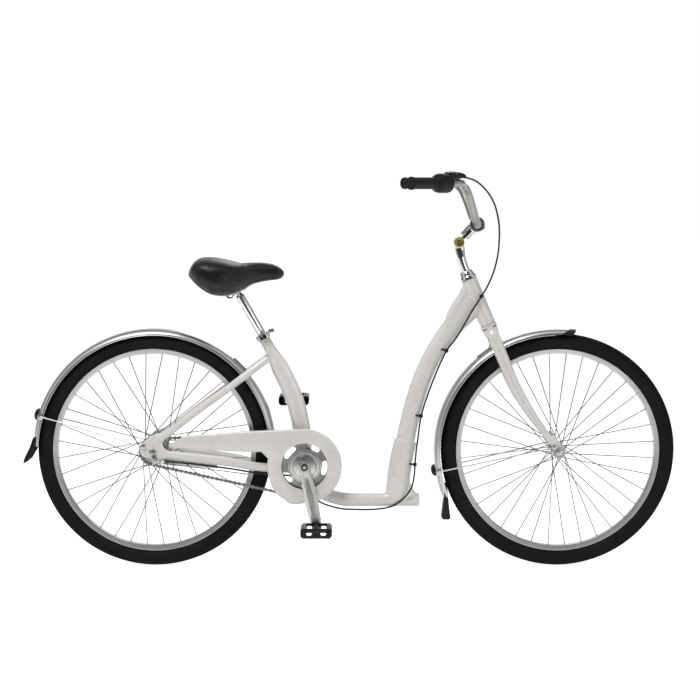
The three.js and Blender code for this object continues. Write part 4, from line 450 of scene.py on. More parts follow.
pearl = finish("pearl_white_paint", "paint", [(0.80, 0.77, 0.735), (0.85, 0.825, 0.795)], 0.28, patch=3, grain=2600,
               bump=0.04, coat=0.7, spread=0.05)
chrome = finish("polished_chrome", "chrome", [(0.58, 0.575, 0.57), (0.64, 0.635, 0.63)], 0.10, 1.0, patch=6, grain=700,
                bump=0.02, spread=0.03)
satin = finish("satin_aluminium", "satin_alloy", [(0.52, 0.52, 0.50), (0.60, 0.60, 0.58)], 0.30, 1.0, patch=8,
               grain=900, bump=0.03, spread=0.07)
bar_metal = finish("brushed_bar_aluminium", "satin_alloy", [(0.27, 0.27, 0.245), (0.33, 0.33, 0.305)], 0.36, 1.0,
                   patch=10, grain=600, bump=0.02, spread=0.05)
rim_metal = finish("brushed_rim_aluminium", "satin_alloy", [(0.45, 0.445, 0.435), (0.53, 0.525, 0.515)], 0.40, 1.0,
                   patch=9, grain=1800, bump=0.08, stretch=(1, 3, 1))
guard_metal = finish("satin_mudguard_metal", "mudguard_metal", [(0.52, 0.515, 0.505), (0.60, 0.595, 0.585)], 0.33, 1.0,
                     patch=5, grain=1600, bump=0.06, spread=0.08)
steel = finish("plated_steel", "steel", [(0.42, 0.42, 0.40), (0.52, 0.52, 0.50)], 0.38, 1.0, patch=20, grain=1300,
               bump=0.08)
# Dark steel for the chainwheel and sprocket, also used as painted shade in the crank recesses and the boss grooves.
dark_steel = finish("oiled_dark_steel_and_painted_shade", "dark_steel", [(0.26, 0.25, 0.24), (0.38, 0.37, 0.355)], 0.38, 1.0, patch=30,
                    grain=1200, bump=0.1)
spoke_steel = finish("spoke_steel", "satin_alloy", [(0.13, 0.13, 0.13), (0.20, 0.20, 0.20)], 0.34, 1.0, patch=30,
                     grain=1500, bump=0.04)
chain_steel = finish("chain_steel", "dark_steel", [(0.15, 0.145, 0.14), (0.26, 0.255, 0.245)], 0.36, 1.0, patch=60,
                     grain=1400, bump=0.1)
zinc = finish("olive_yellow_zinc", "zinc", [(0.34, 0.33, 0.05), (0.50, 0.47, 0.08), (0.42, 0.34, 0.10)], 0.36, 0.85,
              patch=45, grain=1100, bump=0.08)
tyre_rubber = finish("tyre_rubber", "tyre", [(0.005, 0.005, 0.005), (0.010, 0.0097, 0.0094)], 0.74, patch=12, grain=700,
                     bump=0.3, depth=0.0004, spread=0.12, specular=0.15)
grip_rubber = finish("grip_rubber", "rubber", [(0.006, 0.006, 0.0062), (0.011, 0.011, 0.0113)], 0.50, patch=20,
                     grain=1500, bump=0.25, depth=0.0003, spread=0.10, cells=True, specular=0.22)
cable_skin = finish("cable_casing", "rubber", [(0.008, 0.008, 0.0085), (0.016, 0.016, 0.0165)], 0.40, patch=20,
                    grain=1600, bump=0.1, specular=0.3)
plastic = finish("grained_black_plastic", "black_plastic", [(0.006, 0.006, 0.0062), (0.012, 0.012, 0.0124)], 0.40,
                 patch=18, grain=1500, bump=0.22, depth=0.0002, cells=True, specular=0.26)
vinyl = finish("saddle_vinyl", "vinyl", [(0.006, 0.006, 0.006), (0.011, 0.0108, 0.0106)], 0.38, patch=9, grain=950,
               bump=0.3, depth=0.0003, spread=0.08, cells=True, specular=0.3)
window = finish("smoked_clear_window", "black_plastic", [(0.55, 0.57, 0.58), (0.66, 0.68, 0.69)], 0.12, patch=30,
                grain=900, bump=0.02, coat=0.8)

# Frame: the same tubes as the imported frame, melted together at the welds

FRONT_LINE = in_plane([(889, 746), (852, 697), (815, 649), (777, 590), (746, 520), (727, 462), (712, 402), (701, 348),
                       (688, 285), (681, 225), (679, 185)])
STEP_LINE = [*in_plane([(742, 185), (600, 185), (522, 187), (472, 205), (437, 242)]), BRACKET]
SEAT_LINE = [SEAT_TOP, on_seat(-56), *in_plane([(353, 553), (389, 475), (411, 385)]), BRACKET]
SLEEVE_LINE = in_plane([(702, 352), (688, 285), (681, 225), (679, 185)])
NECK_LINE = in_plane([(877, 797), (870, 781), (860.5, 757), (844, 732), (828, 703), (811, 664)])


def chain_stay(side):
    return [at(33, side * 60, 320), at(64, side * 58, 317), at(110, side * 55, 311), at(220, side * 45, 296),
            at(290, side * 37.5, 283), at(338, side * 31, 278), at(375, side * 28.5, 276),
            BRACKET + Vector((-6, side * 26, -12)) * MM]


def seat_stay(side):
    return [at(16, side * 61, 361), at(60, side * 60.5, 393), at(110, side * 57, 432), at(200, side * 49.5, 497),
            at(262, side * 42, 543), at(286, side * 36, 561), at(318, side * 24, 585)]


def dropout(side):
    rim = [(-30, -12), (-36, 2), (-36, 14), (-30, 26), (-6, 46), (22, 56), (34, 40), (29, 30), (28, 20), (32, 12),
           (40, 6), (48, -16), (10, -22)]
    return prism([(x, AXLE_HEIGHT + z) for x, z in rim], *sorted((side * 58.3, side * 64.3)))


def frame_tubes():
    return [tube(FRONT_LINE, 60, 32, [(0, 20, 45), (0.05, 20, 38), (0.16, 20, 28), (0.3, 20, 26), (1, 20, 27)],
                 flat=True), tube(SLEEVE_LINE, 20, 32, [(0, 22, 32), (1, 22, 34)], flat=True),
            prism([(700, 190), (734, 198), (712, 240)], -9, 9), tube(STEP_LINE, 50, 32, 19.5, flat=True),
            tube(SEAT_LINE, 50, 32, [(0, 16, 16), (0.12, 16, 16), (0.28, 17, 25.5), (0.75, 17, 25.5), (1, 17, 20)],
                 flat=True), turned(on_steer(-138), STEER_DOWN, [(0, 0), (0, 22), (0.8, 22.5), (137.2, 22.5), (138, 22),
                                                                 (138, 0)], 48),
            turned(BRACKET, ACROSS, mirrored([(34, 0), (34, 20.6), (33.4, 21)]), 40),
            tube(NECK_LINE, 26, 24, [(0, 14, 9), (0.2, 17, 12), (0.5, 19, 14), (0.72, 19, 13), (1, 19, 6)], flat=True)]


def stay_tubes(side):
    chain_sizes = [(0, 7, 12), (0.3, 9, 13), (0.68, 8, 13), (0.8, 7.5, 13), (1, 9, 10)]
    seat_sizes = [(0, 9, 10.5), (0.3, 9, 10.5), (1, 10.5, 10.5)]
    return [tube(chain_stay(side), 40, 24, chain_sizes, flat=True),
            tube(seat_stay(side), 40, 24, seat_sizes, flat=True), dropout(side)]


def bridges():
    return [tube([at(x, -half, z), at(x, half, z)], 8, 20, 8) for x, half, z in ((277, 38, 551), (352, 30, 277))]


def cutter(name, origin, axis, start, end, radius):
    """A plain round body that isn't part of the object, for a Boolean modifier."""
    outline = [(start, 0), (start, radius), (end, radius), (end, 0)]
    return in_scene(name, as_mesh(name, turned(origin, axis, outline, 32)))


def cut_by(obj, solver):
    return ("BOOLEAN", {"operation": "DIFFERENCE", "object": obj, "solver": solver})


bores = [cutter("seat_bore", on_seat(-195), SEAT_UP, 0, 240, 13), cutter("shell_bore", BRACKET, ACROSS, -60, 60, 17.5),
         cutter("head_bore", on_steer(-160), STEER_DOWN, 0, 180, 17)]
painted = together([*frame_tubes(), *stay_tubes(-1), *stay_tubes(1), *bridges()])
piece("welded_frame", painted, pearl, "frame", "front_frame", "seat_tube", "right_stays", "left_stays", sharp=50,
      modifiers=[*welded(2.4), *(cut_by(bore, "MANIFOLD") for bore in bores)])
for bore in bores:
    bpy.data.objects.remove(bore)

# Head bearings and bottom bracket

piece("upper_bearing_cup", turned(on_steer(-138.3), -STEER_DOWN, [
    (-9, 15), (-9, 16.7), (0, 16.7), (0, 23.4), (0.6, 24), (1.6, 23.8), (10.6, 20.8), (11, 20.4), (11, 15)], 48),
    chrome, "frame", "upper_headset_cup")
piece("lower_bearing_cup", turned(on_steer(0.3), STEER_DOWN, [
    (-9, 15), (-9, 16.7), (0, 16.7), (0, 22.8), (0.6, 23.4), (7.4, 23.4), (8, 22.8), (8, 15)], 48),
    pearl, "frame", "lower_headset_cup")
# Painted shade: a thin black ring in the gap between the lower cup and the fork crown, standing in for the gap's shade.
piece("lower_cup_gap_shade", turned(on_steer(8.3), STEER_DOWN, [(0, 15), (0, 22.4), (0.5, 23), (1, 22.4), (1, 15)], 48),
      grip_rubber, "frame")
piece("bearing_locknut", turned(on_steer(-149.6), -STEER_DOWN, [(0, 14.6), (0, 19.8), (0.5, 20.3), (11, 16.9), (12, 16),
                                                                (12, 14.6)], 48), chrome, "steering", "headset_locknut")
for side, label in SIDES:
    from_node(f"{label}_bracket_cup", steel, 0.5)

# Fork

def blade(side):
    line = [(14, 2, 30), (30, 1, 43), (90, 0, 43), (190, 1, 45), (270, 12, 49), (330, 26, 52), (376, 38, 54.5)]
    return tube([on_steer(down, ahead, side * out) for down, ahead, out in line], 48, 28,
                [(0, 8.75, 14.5), (0.12, 10.5, 17.5), (0.55, 10.5, 15.5), (1, 7, 9)], flat=True)


def fork_tip(side):
    rim = [(-30, 40), (-12, 48), (6, 22), (15, 2), (12, -8), (6, -13), (-2, -14), (-11, -10), (-15, 2)]
    return prism([(WHEELBASE + x, AXLE_HEIGHT + z) for x, z in rim], *sorted((side * 50.3, side * 55.3)))


crown = tube([on_steer(21, 0, -43), on_steer(21, 0, 43)], 12, 28, 15)
crown_neck = turned(on_steer(9.6), STEER_DOWN, [(0, 0), (0, 21.5), (1, 22), (18, 21), (22, 19), (22, 0)], 40)
piece("painted_fork", together([blade(-1), blade(1), fork_tip(-1), fork_tip(1), crown, crown_neck]), pearl, "steering",
      "fork", sharp=50, modifiers=welded(1.9))

# Wheels

TYRE_RADIUS, TYRE_HALF, CROWN = 303, 23.5, 21.3
TREAD_BLOCKS, BLOCK_HEIGHT, BLOCK_LENGTH = 180, 3.4, 7.4
SPOKES, CROSSED, SPOKE_WIRE, NIPPLE_WIRE, NIPPLE_SHARE = 36, 6, 1.3, 1.8, 0.048
TYRE_INSIDE = mirrored([(12, 285.2), (9, 280), (14, 290), (17, 303), (12, 313)], (0, 318))[::-1]
RIM_WELL = [(14.5, 283.6), (14.2, 284), (12.7, 284), (12.7, 278.6)]
RIM_OUTSIDE = [(14.5, 282), (13.9, 280.5), (14.0, 275), (13.0, 272.2), (9.0, 270)]


def tread(centre):
    """Rows of small blocks that follow the casing's crown: one block of each row, repeated round the wheel."""
    rows = []
    for side, half, shift in ((0, 3.6, 0.0), (8.2, 3.2, 0.5), (-8.2, 3.2, 0.5), (15.2, 2.8, 0.0), (-15.2, 2.8, 0.0),
                              (20.6, 1.9, 0.5), (-20.6, 1.9, 0.5)):
        lean = math.asin(side / TYRE_HALF)
        spot = polar(centre, TYRE_RADIUS + CROWN * math.cos(lean), TURN * shift / TREAD_BLOCKS, side * 0.99)
        away = Vector((math.cos(lean), math.sin(lean), 0))
        row = bmesh.new()
        bmesh.ops.create_cube(row, size=1.0, matrix=Matrix.Diagonal((BLOCK_HEIGHT * MM, half * 2 * MM,
                                                                     BLOCK_LENGTH * MM, 1)))
        bmesh.ops.scale(row, vec=(1, 0.82, 0.84), verts=[v for v in row.verts if v.co.x > 0])
        bmesh.ops.delete(row, geom=[f for f in row.faces if f.normal.x < -0.9], context="FACES_ONLY")
        for turn in (Vector((1, 0, 0)).rotation_difference(away).to_matrix(),
                     Matrix.Rotation(-TURN * shift / TREAD_BLOCKS, 3, "Y")):
            bmesh.ops.rotate(row, cent=(0, 0, 0), matrix=turn, verts=row.verts)
        bmesh.ops.translate(row, vec=spot + away * 0.3 * MM, verts=row.verts)
        all_round(row, centre, TREAD_BLOCKS)
        rows.append(row)
    return together(rows)


def wheel(label, centre, hub_outline, flange_radius, flange_side):
    """A tyre, a rim, a hub and spokes that cross: a quarter of one flange pattern, repeated nine times."""
    body = f"{label}_wheel"
    crown = [(TYRE_HALF * math.sin(a), TYRE_RADIUS + CROWN * math.cos(a)) for a in
             (math.radians(d) for d in range(-116, 117, 8))]
    piece(f"{label}_knobby_tyre", together([turned(centre, ACROSS, crown + TYRE_INSIDE, 96), tread(centre)]),
          tyre_rubber, body, f"{label}_tyre", sharp=40)
    rim = mirrored(RIM_WELL, (0, 277.2))[::-1] + mirrored(RIM_OUTSIDE, (0, 269.3))
    piece(f"{label}_polished_rim", turned(centre, ACROSS, rim, 128), rim_metal, body, f"{label}_rim", sharp=40)
    spokes, nipples = bmesh.new(), bmesh.new()
    for i in range(4):
        side = 1 if i % 2 else -1
        lean = 1 if i < 2 else -1
        rim_angle = (i + 0.5) * TURN / SPOKES
        hub_angle = rim_angle + lean * CROSSED * TURN / SPOKES
        start = polar(centre, flange_radius, hub_angle, side * flange_side + lean * 1.2)
        end = polar(centre, 268.6, rim_angle, side * 3 + lean * 1.2)
        add_rod(spokes, start, end, SPOKE_WIRE, 8)
        add_rod(nipples, end + (end - start).normalized() * MM, end.lerp(start, NIPPLE_SHARE), NIPPLE_WIRE, 8)
    for wires in (spokes, nipples):
        all_round(wires, centre, SPOKES // 4)
    piece(f"{label}_hub_shell", turned(centre, ACROSS, hub_outline, 48), satin, body, f"{label}_hub", sharp=40)
    piece(f"{label}_laced_spokes", spokes, spoke_steel, body, f"{label}_hub", sharp=40)
    piece(f"{label}_spoke_nipples", nipples, steel, body)


rear_hub = [(-38, 5.3), (-38, 24), (-36.5, 26), (-33, 29.5), (-32.5, 36.5), (-27.5, 36.5), (-27, 31), (-24, 30),
            (-12, 29), (0, 28.6), (12, 29), (24, 30), (27, 31), (27.5, 36.5), (32.5, 36.5), (33, 30), (38, 26),
            (43, 24), (44, 23), (44, 5.3)]
front_hub = mirrored([(44, 5.3), (44, 9.6), (43, 10), (37, 13), (36.5, 18.4), (36, 19), (32, 19), (31.5, 18.4),
                      (31, 13.5), (20, 12)], (0, 11.6))
wheel("rear", REAR_AXLE, rear_hub, 33.5, 30)
wheel("front", FRONT_AXLE, front_hub, 16.5, 34)
for name in ("rear_axle", "front_axle"):
    from_node(name, steel, 0.5)
washer = [(0, 11.2), (0, 17.4), (0.5, 18), (1.3, 18), (1.8, 17.4), (1.8, 11.2)]
washers = [turned(FRONT_AXLE + ACROSS * side * 55.3 * MM, ACROSS * side, washer, 40) for side in (-1, 1)]
piece("front_axle_washers", together(washers), steel, "steering")

# Chain: 98 links of two waisted side plates, pins and rollers

ALONG = (BRACKET - REAR_AXLE).normalized()
ABOVE = -ALONG.cross(ACROSS)


def chain_pins():
    """The spots of all pins: round the chainwheel, back below, round the sprocket and forward above."""
    def on_ring(angle):
        return BRACKET + (ALONG * math.cos(angle) + ABOVE * math.sin(angle)) * RING_RADIUS * MM

    def on_sprocket(angle):
        angle += math.pi
        return REAR_AXLE + (ALONG * math.cos(angle) + ABOVE * math.sin(angle)) * SPROCKET_RADIUS * MM

    def run(start, end):
        return [start.lerp(end, i / RUN) for i in range(RUN)]

    return [*(on_ring(RING_ANGLE - i * TURN / RING_TEETH) for i in range(RING_WRAP)),
            *run(on_ring(-RING_ANGLE), on_sprocket(SPROCKET_ANGLE)),
            *(on_sprocket(SPROCKET_ANGLE - i * TURN / SPROCKET_TEETH) for i in range(SPROCKET_WRAP)),
            *run(on_sprocket(-SPROCKET_ANGLE), on_ring(RING_ANGLE))]


LINK_END, LINK_WAIST = 4.8, 0.5
PIN, ROLLER = (4.1, 1.8, 8), (1.5, 3.88, 10)


def chain_link(apart):
    """A link lying along X from its pin at nought: two waisted plates, its pin and its roller."""
    bm = bmesh.new()
    bmesh.ops.create_circle(bm, cap_ends=True, segments=12, radius=LINK_END * MM,
                            matrix=Matrix.Rotation(math.pi / 2, 4, "X") @ Matrix.Rotation(math.radians(15), 4, "Z"))
    bmesh.ops.translate(bm, verts=[v for v in bm.verts if v.co.x > 0], vec=(PITCH * MM, 0, 0))
    long_edges = [e for e in bm.edges if e.calc_length() > PITCH * MM]
    waist = bmesh.ops.subdivide_edges(bm, edges=long_edges, cuts=1)["geom_inner"]
    bmesh.ops.scale(bm, vec=(1, 1, LINK_WAIST), verts=[g for g in waist if isinstance(g, bmesh.types.BMVert)])
    bmesh.ops.translate(bm, verts=bm.verts, vec=(0, apart * MM, 0))
    made = bmesh.ops.extrude_face_region(bm, geom=bm.faces[:])
    bmesh.ops.translate(bm, verts=new_verts(made), vec=(0, MM, 0))
    bmesh.ops.mirror(bm, geom=everything(bm), axis="Y", merge_dist=0)
    for half, radius, sides in (PIN, ROLLER):
        add_rod(bm, Vector((0, -half, 0)) * MM, Vector((0, half, 0)) * MM, radius, sides)
    bmesh.ops.recalc_face_normals(bm, faces=bm.faces)
    return as_mesh("link", bm)


def chain():
    """Inner and outer links in turn, each carried to its pin and turned towards the next."""
    pins = chain_pins()
    links = [chain_link(1.65), chain_link(2.7)]
    whole = bmesh.new()
    for i, spot in enumerate(pins):
        along = (pins[(i + 1) % len(pins)] - spot).normalized()
        held = len(whole.verts)
        whole.from_mesh(links[i % 2])
        whole.verts.ensure_lookup_table()
        place = Matrix((along, ACROSS, along.cross(ACROSS))).transposed().to_4x4()
        bmesh.ops.transform(whole, matrix=Matrix.Translation(spot + ACROSS * CHAIN_LINE * MM) @ place,
                            verts=whole.verts[held:])
    for mesh in links:
        bpy.data.meshes.remove(mesh)
    return whole


piece("roller_chain", chain(), chain_steel, "frame", "chain")


TILT = math.atan2(ALONG.z, ALONG.x)
PLATE_THICKNESS = 2.6
PLATE_SIDE = CHAIN_LINE - PLATE_THICKNESS / 2
GULLET = 4.1


def toothed(centre, count, pitch_radius, first):
    """Closed edges round a toothed wheel: one gullet and one tooth, repeated round the axle."""
    rim = []
    for far in (-1.0, -0.5, 0.0, 0.5, 1.0):
        angle = math.radians(64) * far
        out = pitch_radius - GULLET * math.cos(angle)
        rim.append((out, first + GULLET * math.sin(angle) / out))
    tip = first + TURN / count / 2
    rim += [(pitch_radius + out, tip + aside / pitch_radius)
            for out, aside in ((2.6, -1.9), (4.2, -0.7), (4.2, 0.7), (2.6, 1.9))]
    rim.append((rim[0][0], rim[0][1] + TURN / count))
    bm = bmesh.new()
    line = [bm.verts.new(polar(centre, out, angle, PLATE_SIDE)) for out, angle in rim]
    for pair in zip(line, line[1:]):
        bm.edges.new(pair)
    all_round(bm, centre, count)
    bmesh.ops.remove_doubles(bm, verts=bm.verts, dist=1e-5)
    return bm


def add_hole(bm, centre, radius, sides):
    lying = Matrix.Translation(centre + ACROSS * PLATE_SIDE * MM) @ Matrix.Rotation(math.pi / 2, 4, "X")
    bmesh.ops.create_circle(bm, cap_ends=False, segments=sides, radius=radius * MM, matrix=lying)


def ring_windows():
    """Five long rounded windows round the chainwheel."""
    bm = bmesh.new()
    bmesh.ops.create_circle(bm, cap_ends=False, segments=20, radius=1.0)
    for v in bm.verts:
        swing, rise = (math.copysign(abs(share) ** 0.6, share) for share in (v.co.x, v.co.y))
        v.co = polar(BRACKET, 56 + rise * 7.5, math.radians(-6) + swing * math.radians(21), PLATE_SIDE)
    all_round(bm, BRACKET, 5)
    return bm


wheel_plate = together([toothed(BRACKET, RING_TEETH, RING_RADIUS, TILT), ring_windows()])
add_hole(wheel_plate, BRACKET, 30.3, 48)
piece("toothed_chainwheel", thickened(wheel_plate, PLATE_THICKNESS), dark_steel, "crank", "chainwheel",
      modifiers=[bevel(0.35, 1)])
cog = toothed(REAR_AXLE, SPROCKET_TEETH, SPROCKET_RADIUS, TILT + math.pi)
add_hole(cog, REAR_AXLE, 5.4, 20)
driver = turned(REAR_AXLE, ACROSS, [(-52.5, 5.4), (-52.5, 27), (-51.8, 29), (-50, 29), (-49.6, 27), (-49.6, 16),
                                    (-38.6, 16), (-38.6, 5.4)], 48)
piece("toothed_sprocket", together([thickened(cog, PLATE_THICKNESS), driver]), dark_steel, "sprocket", "rear_sprocket",
      modifiers=[bevel(0.35, 1)])

# Cranks and pedals

for _, label in SIDES:
    from_node(f"{label}_crank", satin, 1.4, 3)
    from_node(f"{label}_pedal", plastic, 0.9)
from_node("crank_spindle", steel, 0.4)

CRANK_LEAN = math.radians(11.5)
CRANK_LENGTH, CRANK_FACE = 170, 80
CRANK_DOWN = Vector((math.sin(CRANK_LEAN), 0, -math.cos(CRANK_LEAN)))
CRANK_SIDE = CRANK_DOWN.cross(ACROSS)
ARCH = ((0.80, 9.5), (0.66, 10.5), (0.5, 10.6), (0.34, 9.2), (0.24, 6), (0.185, 2.5))
EDGE = ((0.96, 10), (0.8, 11.6), (0.6, 12.4), (0.35, 11.7), (0.15, 10.6), (0, 10), (-0.045, 8), (-0.068, 4))


def on_arm(side, share, place=0.0, lift=0.0):
    """A spot on a crank arm's outer face, by its share of the arm's length and its place across it."""
    return BRACKET + (CRANK_DOWN * -side * CRANK_LENGTH * share + CRANK_SIDE * -side * place
                      + ACROSS * side * (CRANK_FACE + 4 * max(0, share) + lift)) * MM


def arm_ribs(side):
    """The forged arm's raised arch and its rolled edges."""
    ribs = []
    for rows, tip, radius in ((ARCH, 0.17, 1.3), (EDGE, -0.074, 1.5)):
        half = [on_arm(side, share, -place) for share, place in rows]
        back = [on_arm(side, share, place) for share, place in rows[::-1]]
        ribs.append(tube([*half, on_arm(side, tip), *back], 90, 8, radius))
    return together(ribs)


for side, label in SIDES:
    piece(f"{label}_crank_ribs", arm_ribs(side), satin, "crank")
    # Painted shade: a dark sheet laid in the floor of the arm's forged recess, standing in for the shade between the
    # ribs.
    hollow_shade_sheet = tube([on_arm(side, share, lift=-0.2) for share in (0.2, 0.35, 0.5, 0.66)], 20, 12,
                        [(0, 0.5, 2.5), (0.3, 0.5, 7.5), (0.65, 0.5, 9), (1, 0.5, 8)], flat=True)
    piece(f"{label}_crank_hollow_painted_shade", hollow_shade_sheet, dark_steel, "crank", slot="steel")
    face = BRACKET + ACROSS * side * 80.0 * MM
    ring = [(-0.5, 5.6), (-0.5, 10.4), (0.8, 10.4), (1.6, 9.4), (1.6, 6.6), (0.6, 5.6)]
    piece(f"{label}_dust_ring", turned(face, ACROSS * side, ring, 36), plastic, "crank")
    bolt = [(-0.5, 0), (-0.5, 5.5), (0.9, 5.5), (1.2, 5), (1.2, 3), (0.2, 2.6), (0.2, 0)]
    piece(f"{label}_crank_bolt", turned(face, ACROSS * side, bolt, 24), steel, "crank")


def boss_rings(rows, height, slope):
    """Flat rings on the chainwheel's boss, from rows of (face, inner radius, outer radius)."""
    return together([turned(BRACKET, ACROSS, [(-face, inner), (-face - height, inner + slope),
                                              (-face - height, outer - slope), (-face, outer)], 72)
                     for face, inner, outer in rows])


piece("chainwheel_boss_rings", boss_rings(((49.3, 43.2, 45.8), (49.3, 40, 41.6), (52.3, 34.6, 38.6), (52.3, 30.8, 33)),
                                          0.9, 0.6), chrome, "crank")
# Painted shade: thin dark rings standing proud on the boss, standing in for the shade in its turned grooves.
piece("chainwheel_boss_groove_shade", boss_rings(((49.3, 41.7, 43.1), (52.3, 33.1, 34.5), (52.3, 29.2, 30.7)), 0.35, 0),
      dark_steel, "crank", slot="steel")

# Chain guard: a pressed shell with a rolled front edge

GUARD_RADIUS = 104.0
GUARD_BACK, GUARD_DEPTH, GUARD_ROUNDING = -42.8, 17.2, 5
GUARD_CORNER = ((-160, 0), (-150, 3), (-136, 6), (-122, 5.5), (-113, 9), (-108, 8), (-97, 3), (-92, 0))
GUARD_TAIL = [(300, 327), (276, 326.5), (230, 328), (160, 332), (60, 337), (48, 339), (44, 343), (46, 348), (76, 366),
              (82, 371), (95, 373.5), (240, 384.2)]


def chain_guard():
    """A round front end spun from one point, a long tail, and a face pressed out with a rolled rim."""
    bm = bmesh.new()
    first = bm.verts.new(BRACKET + Vector((0, GUARD_BACK, GUARD_RADIUS)) * MM)
    bmesh.ops.spin(bm, geom=[first], cent=BRACKET, axis=ACROSS, angle=math.radians(282), steps=47)
    last = next(v for v in bm.verts if len(v.link_edges) == 1 and v is not first)
    for v in bm.verts:
        arm = v.co - BRACKET
        angle = math.degrees(math.atan2(arm.z, arm.x))
        if GUARD_CORNER[0][0] < angle < GUARD_CORNER[-1][0]:
            v.co += Vector((arm.x, 0, arm.z)).normalized() * stops(GUARD_CORNER, angle)[0] * MM
    for spot in in_plane(GUARD_TAIL, GUARD_BACK):
        corner = bm.verts.new(spot)
        bm.edges.new((last, corner))
        last = corner
    bm.edges.new((last, first))
    face = bmesh.ops.contextual_create(bm, geom=bm.edges[:])["faces"][0]
    made = bmesh.ops.extrude_face_region(bm, geom=[face])
    bmesh.ops.translate(bm, verts=new_verts(made), vec=(0, -GUARD_DEPTH * MM, 0))
    bmesh.ops.delete(bm, geom=[f for f in bm.faces if all(v.co.y > (GUARD_BACK - 0.2) * MM for v in f.verts)],
                     context="FACES")
    bmesh.ops.recalc_face_normals(bm, faces=bm.faces)
    edges = [e for e in bm.edges if all(v.co.y < (GUARD_BACK - GUARD_DEPTH + 0.1) * MM for v in e.verts)]
    bmesh.ops.bevel(bm, geom=edges, offset=GUARD_ROUNDING * MM, segments=4, profile=0.5, affect="EDGES", material=-1)
    open_side = []
    for f in bm.faces:
        middle = f.calc_center_median()
        from_rear = middle.x / MM + MIDDLE
        behind = from_rear < 200 and middle.z > 0.345
        below = 318 < from_rear < 396 and middle.z < 0.262
        if abs(f.normal.y) < 0.3 and (behind or below) and middle.y > -0.054:
            open_side.append(f)
    bmesh.ops.delete(bm, geom=open_side, context="FACES")
    return bm


window_cut = cutter("window_cut", BRACKET, ACROSS, -70, -50, 64.5)
piece("pressed_chain_guard", chain_guard(), pearl, "frame", "chain_guard", sharp=40,
      modifiers=[sheet(1.5), cut_by(window_cut, "EXACT"), bevel(0.35, 2, 50)])
bpy.data.objects.remove(window_cut)
from_node("guard_bracket", steel, 0.3)


def screw(name, spot, radius, material):
    """A domed screw head with a round recess."""
    head = [(-0.4, 0), (-0.4, radius), (0.5, radius), (radius * 0.35, radius * 0.8), (radius * 0.5, radius * 0.35),
            (radius * 0.3, radius * 0.25), (radius * 0.3, 0)]
    piece(name, turned(spot, -ACROSS, head, 20), material, "frame")


screw("guard_tail_screw", at(76, -60.1, 338), 4.2, steel)
screw("guard_front_screw", BRACKET + Vector((0.076, -0.0601, 0.028)), 3.4, pearl)

# Mudguards: rolled sheet with a bead along each edge

CROWN_RADIUS, CROWN_HALF, CROWN_DEPTH = 340.6, 28.6, 17.2


def rolled(axle, start, end, rise, count, section):
    """Rolls a section round a wheel, from one angle to another in degrees, while the radius grows by rise."""
    bm = bmesh.new()
    section(bm, polar(axle, CROWN_RADIUS, math.pi / 2))
    bmesh.ops.rotate(bm, cent=axle, matrix=Matrix.Rotation(math.pi / 2 - math.radians(start), 3, "Y"), verts=bm.verts)
    bmesh.ops.spin(bm, geom=bm.verts[:] + bm.edges[:], cent=axle, axis=-ACROSS, angle=math.radians(end - start),
                   steps=count)
    for v in bm.verts:
        out = v.co - axle
        out.y = 0
        angle = math.degrees(math.atan2(out.z, out.x)) % 360
        angle -= 360 if angle > 270 else 0
        v.co += out.normalized() * rise * MM * (angle - start) / (end - start)
    bmesh.ops.recalc_face_normals(bm, faces=bm.faces)
    return bm


def crowned(bm, crown):
    """The mudguard's section: half a turn of one point, flattened."""
    pivot = crown - Vector((0, 0, CROWN_HALF)) * MM
    first = bm.verts.new(pivot - ACROSS * CROWN_HALF * MM)
    bmesh.ops.spin(bm, geom=[first], cent=pivot, axis=(1, 0, 0), angle=-math.pi, steps=24)
    bmesh.ops.scale(bm, vec=(1, 1, CROWN_DEPTH / CROWN_HALF), space=Matrix.Translation(-crown), verts=bm.verts)


def edge_rings(bm, crown):
    """Two small rings, one along each edge of the section."""
    for side in (-1, 1):
        spot = crown + Vector((0, side * 28.4, -17.4)) * MM
        bmesh.ops.create_circle(bm, cap_ends=False, segments=8, radius=1.1 * MM,
                                matrix=Matrix.Translation(spot) @ Matrix.Rotation(math.pi / 2, 4, "Y"))


def beads(axle, start, end, rise, count):
    bm = rolled(axle, start, end, rise, count, edge_rings)
    bmesh.ops.holes_fill(bm, edges=[e for e in bm.edges if e.is_boundary], sides=0)
    bmesh.ops.recalc_face_normals(bm, faces=bm.faces)
    return bm


SKIRT_LINE = in_plane([(1121.6, 645.7), (1158.1, 664.4)])
NOSE_LINE = in_plane([(1163, 646), (1178, 664)])


def trimmed(bm, line, keep_ahead):
    """Cuts a rolled sheet's nose along a slanted line seen from the side, and keeps one part."""
    along = (line[1] - line[0]).normalized()
    ahead = along.cross(-ACROSS)
    reach = line[0].x - 0.045
    near = [v for v in bm.verts if v.co.x > reach]
    near += [g for g in bm.edges[:] + bm.faces[:] if all(v.co.x > reach for v in g.verts)]
    bmesh.ops.bisect_plane(bm, geom=near, dist=1e-6, plane_co=line[0], plane_no=ahead,
                           clear_inner=keep_ahead, clear_outer=not keep_ahead)
    return bm


def mudguard(label, axle, skin, start, end, rise, body, count):
    piece(f"{label}_rolled_mudguard", skin, guard_metal, body, f"{label}_mudguard", sharp=60, modifiers=[sheet(1.0)])
    piece(f"{label}_mudguard_beads", beads(axle, start, end, rise, count), guard_metal, body)


mudguard("rear", REAR_AXLE, rolled(REAR_AXLE, -3, 178, 0, 90, crowned), -3, 178, 0, "frame", 90)
front_skin = trimmed(rolled(FRONT_AXLE, 82, 203, 8, 64, crowned), SKIRT_LINE, False)
mudguard("front", FRONT_AXLE, front_skin, 92, 203, 8, "steering", 64)
nose = trimmed(trimmed(rolled(FRONT_AXLE, 80.5, 96, 0.4, 14, crowned), SKIRT_LINE, True), NOSE_LINE, False)
piece("mudguard_nose", nose, plastic, "steering", sharp=60, modifiers=[sheet(1.4, -0.6)])


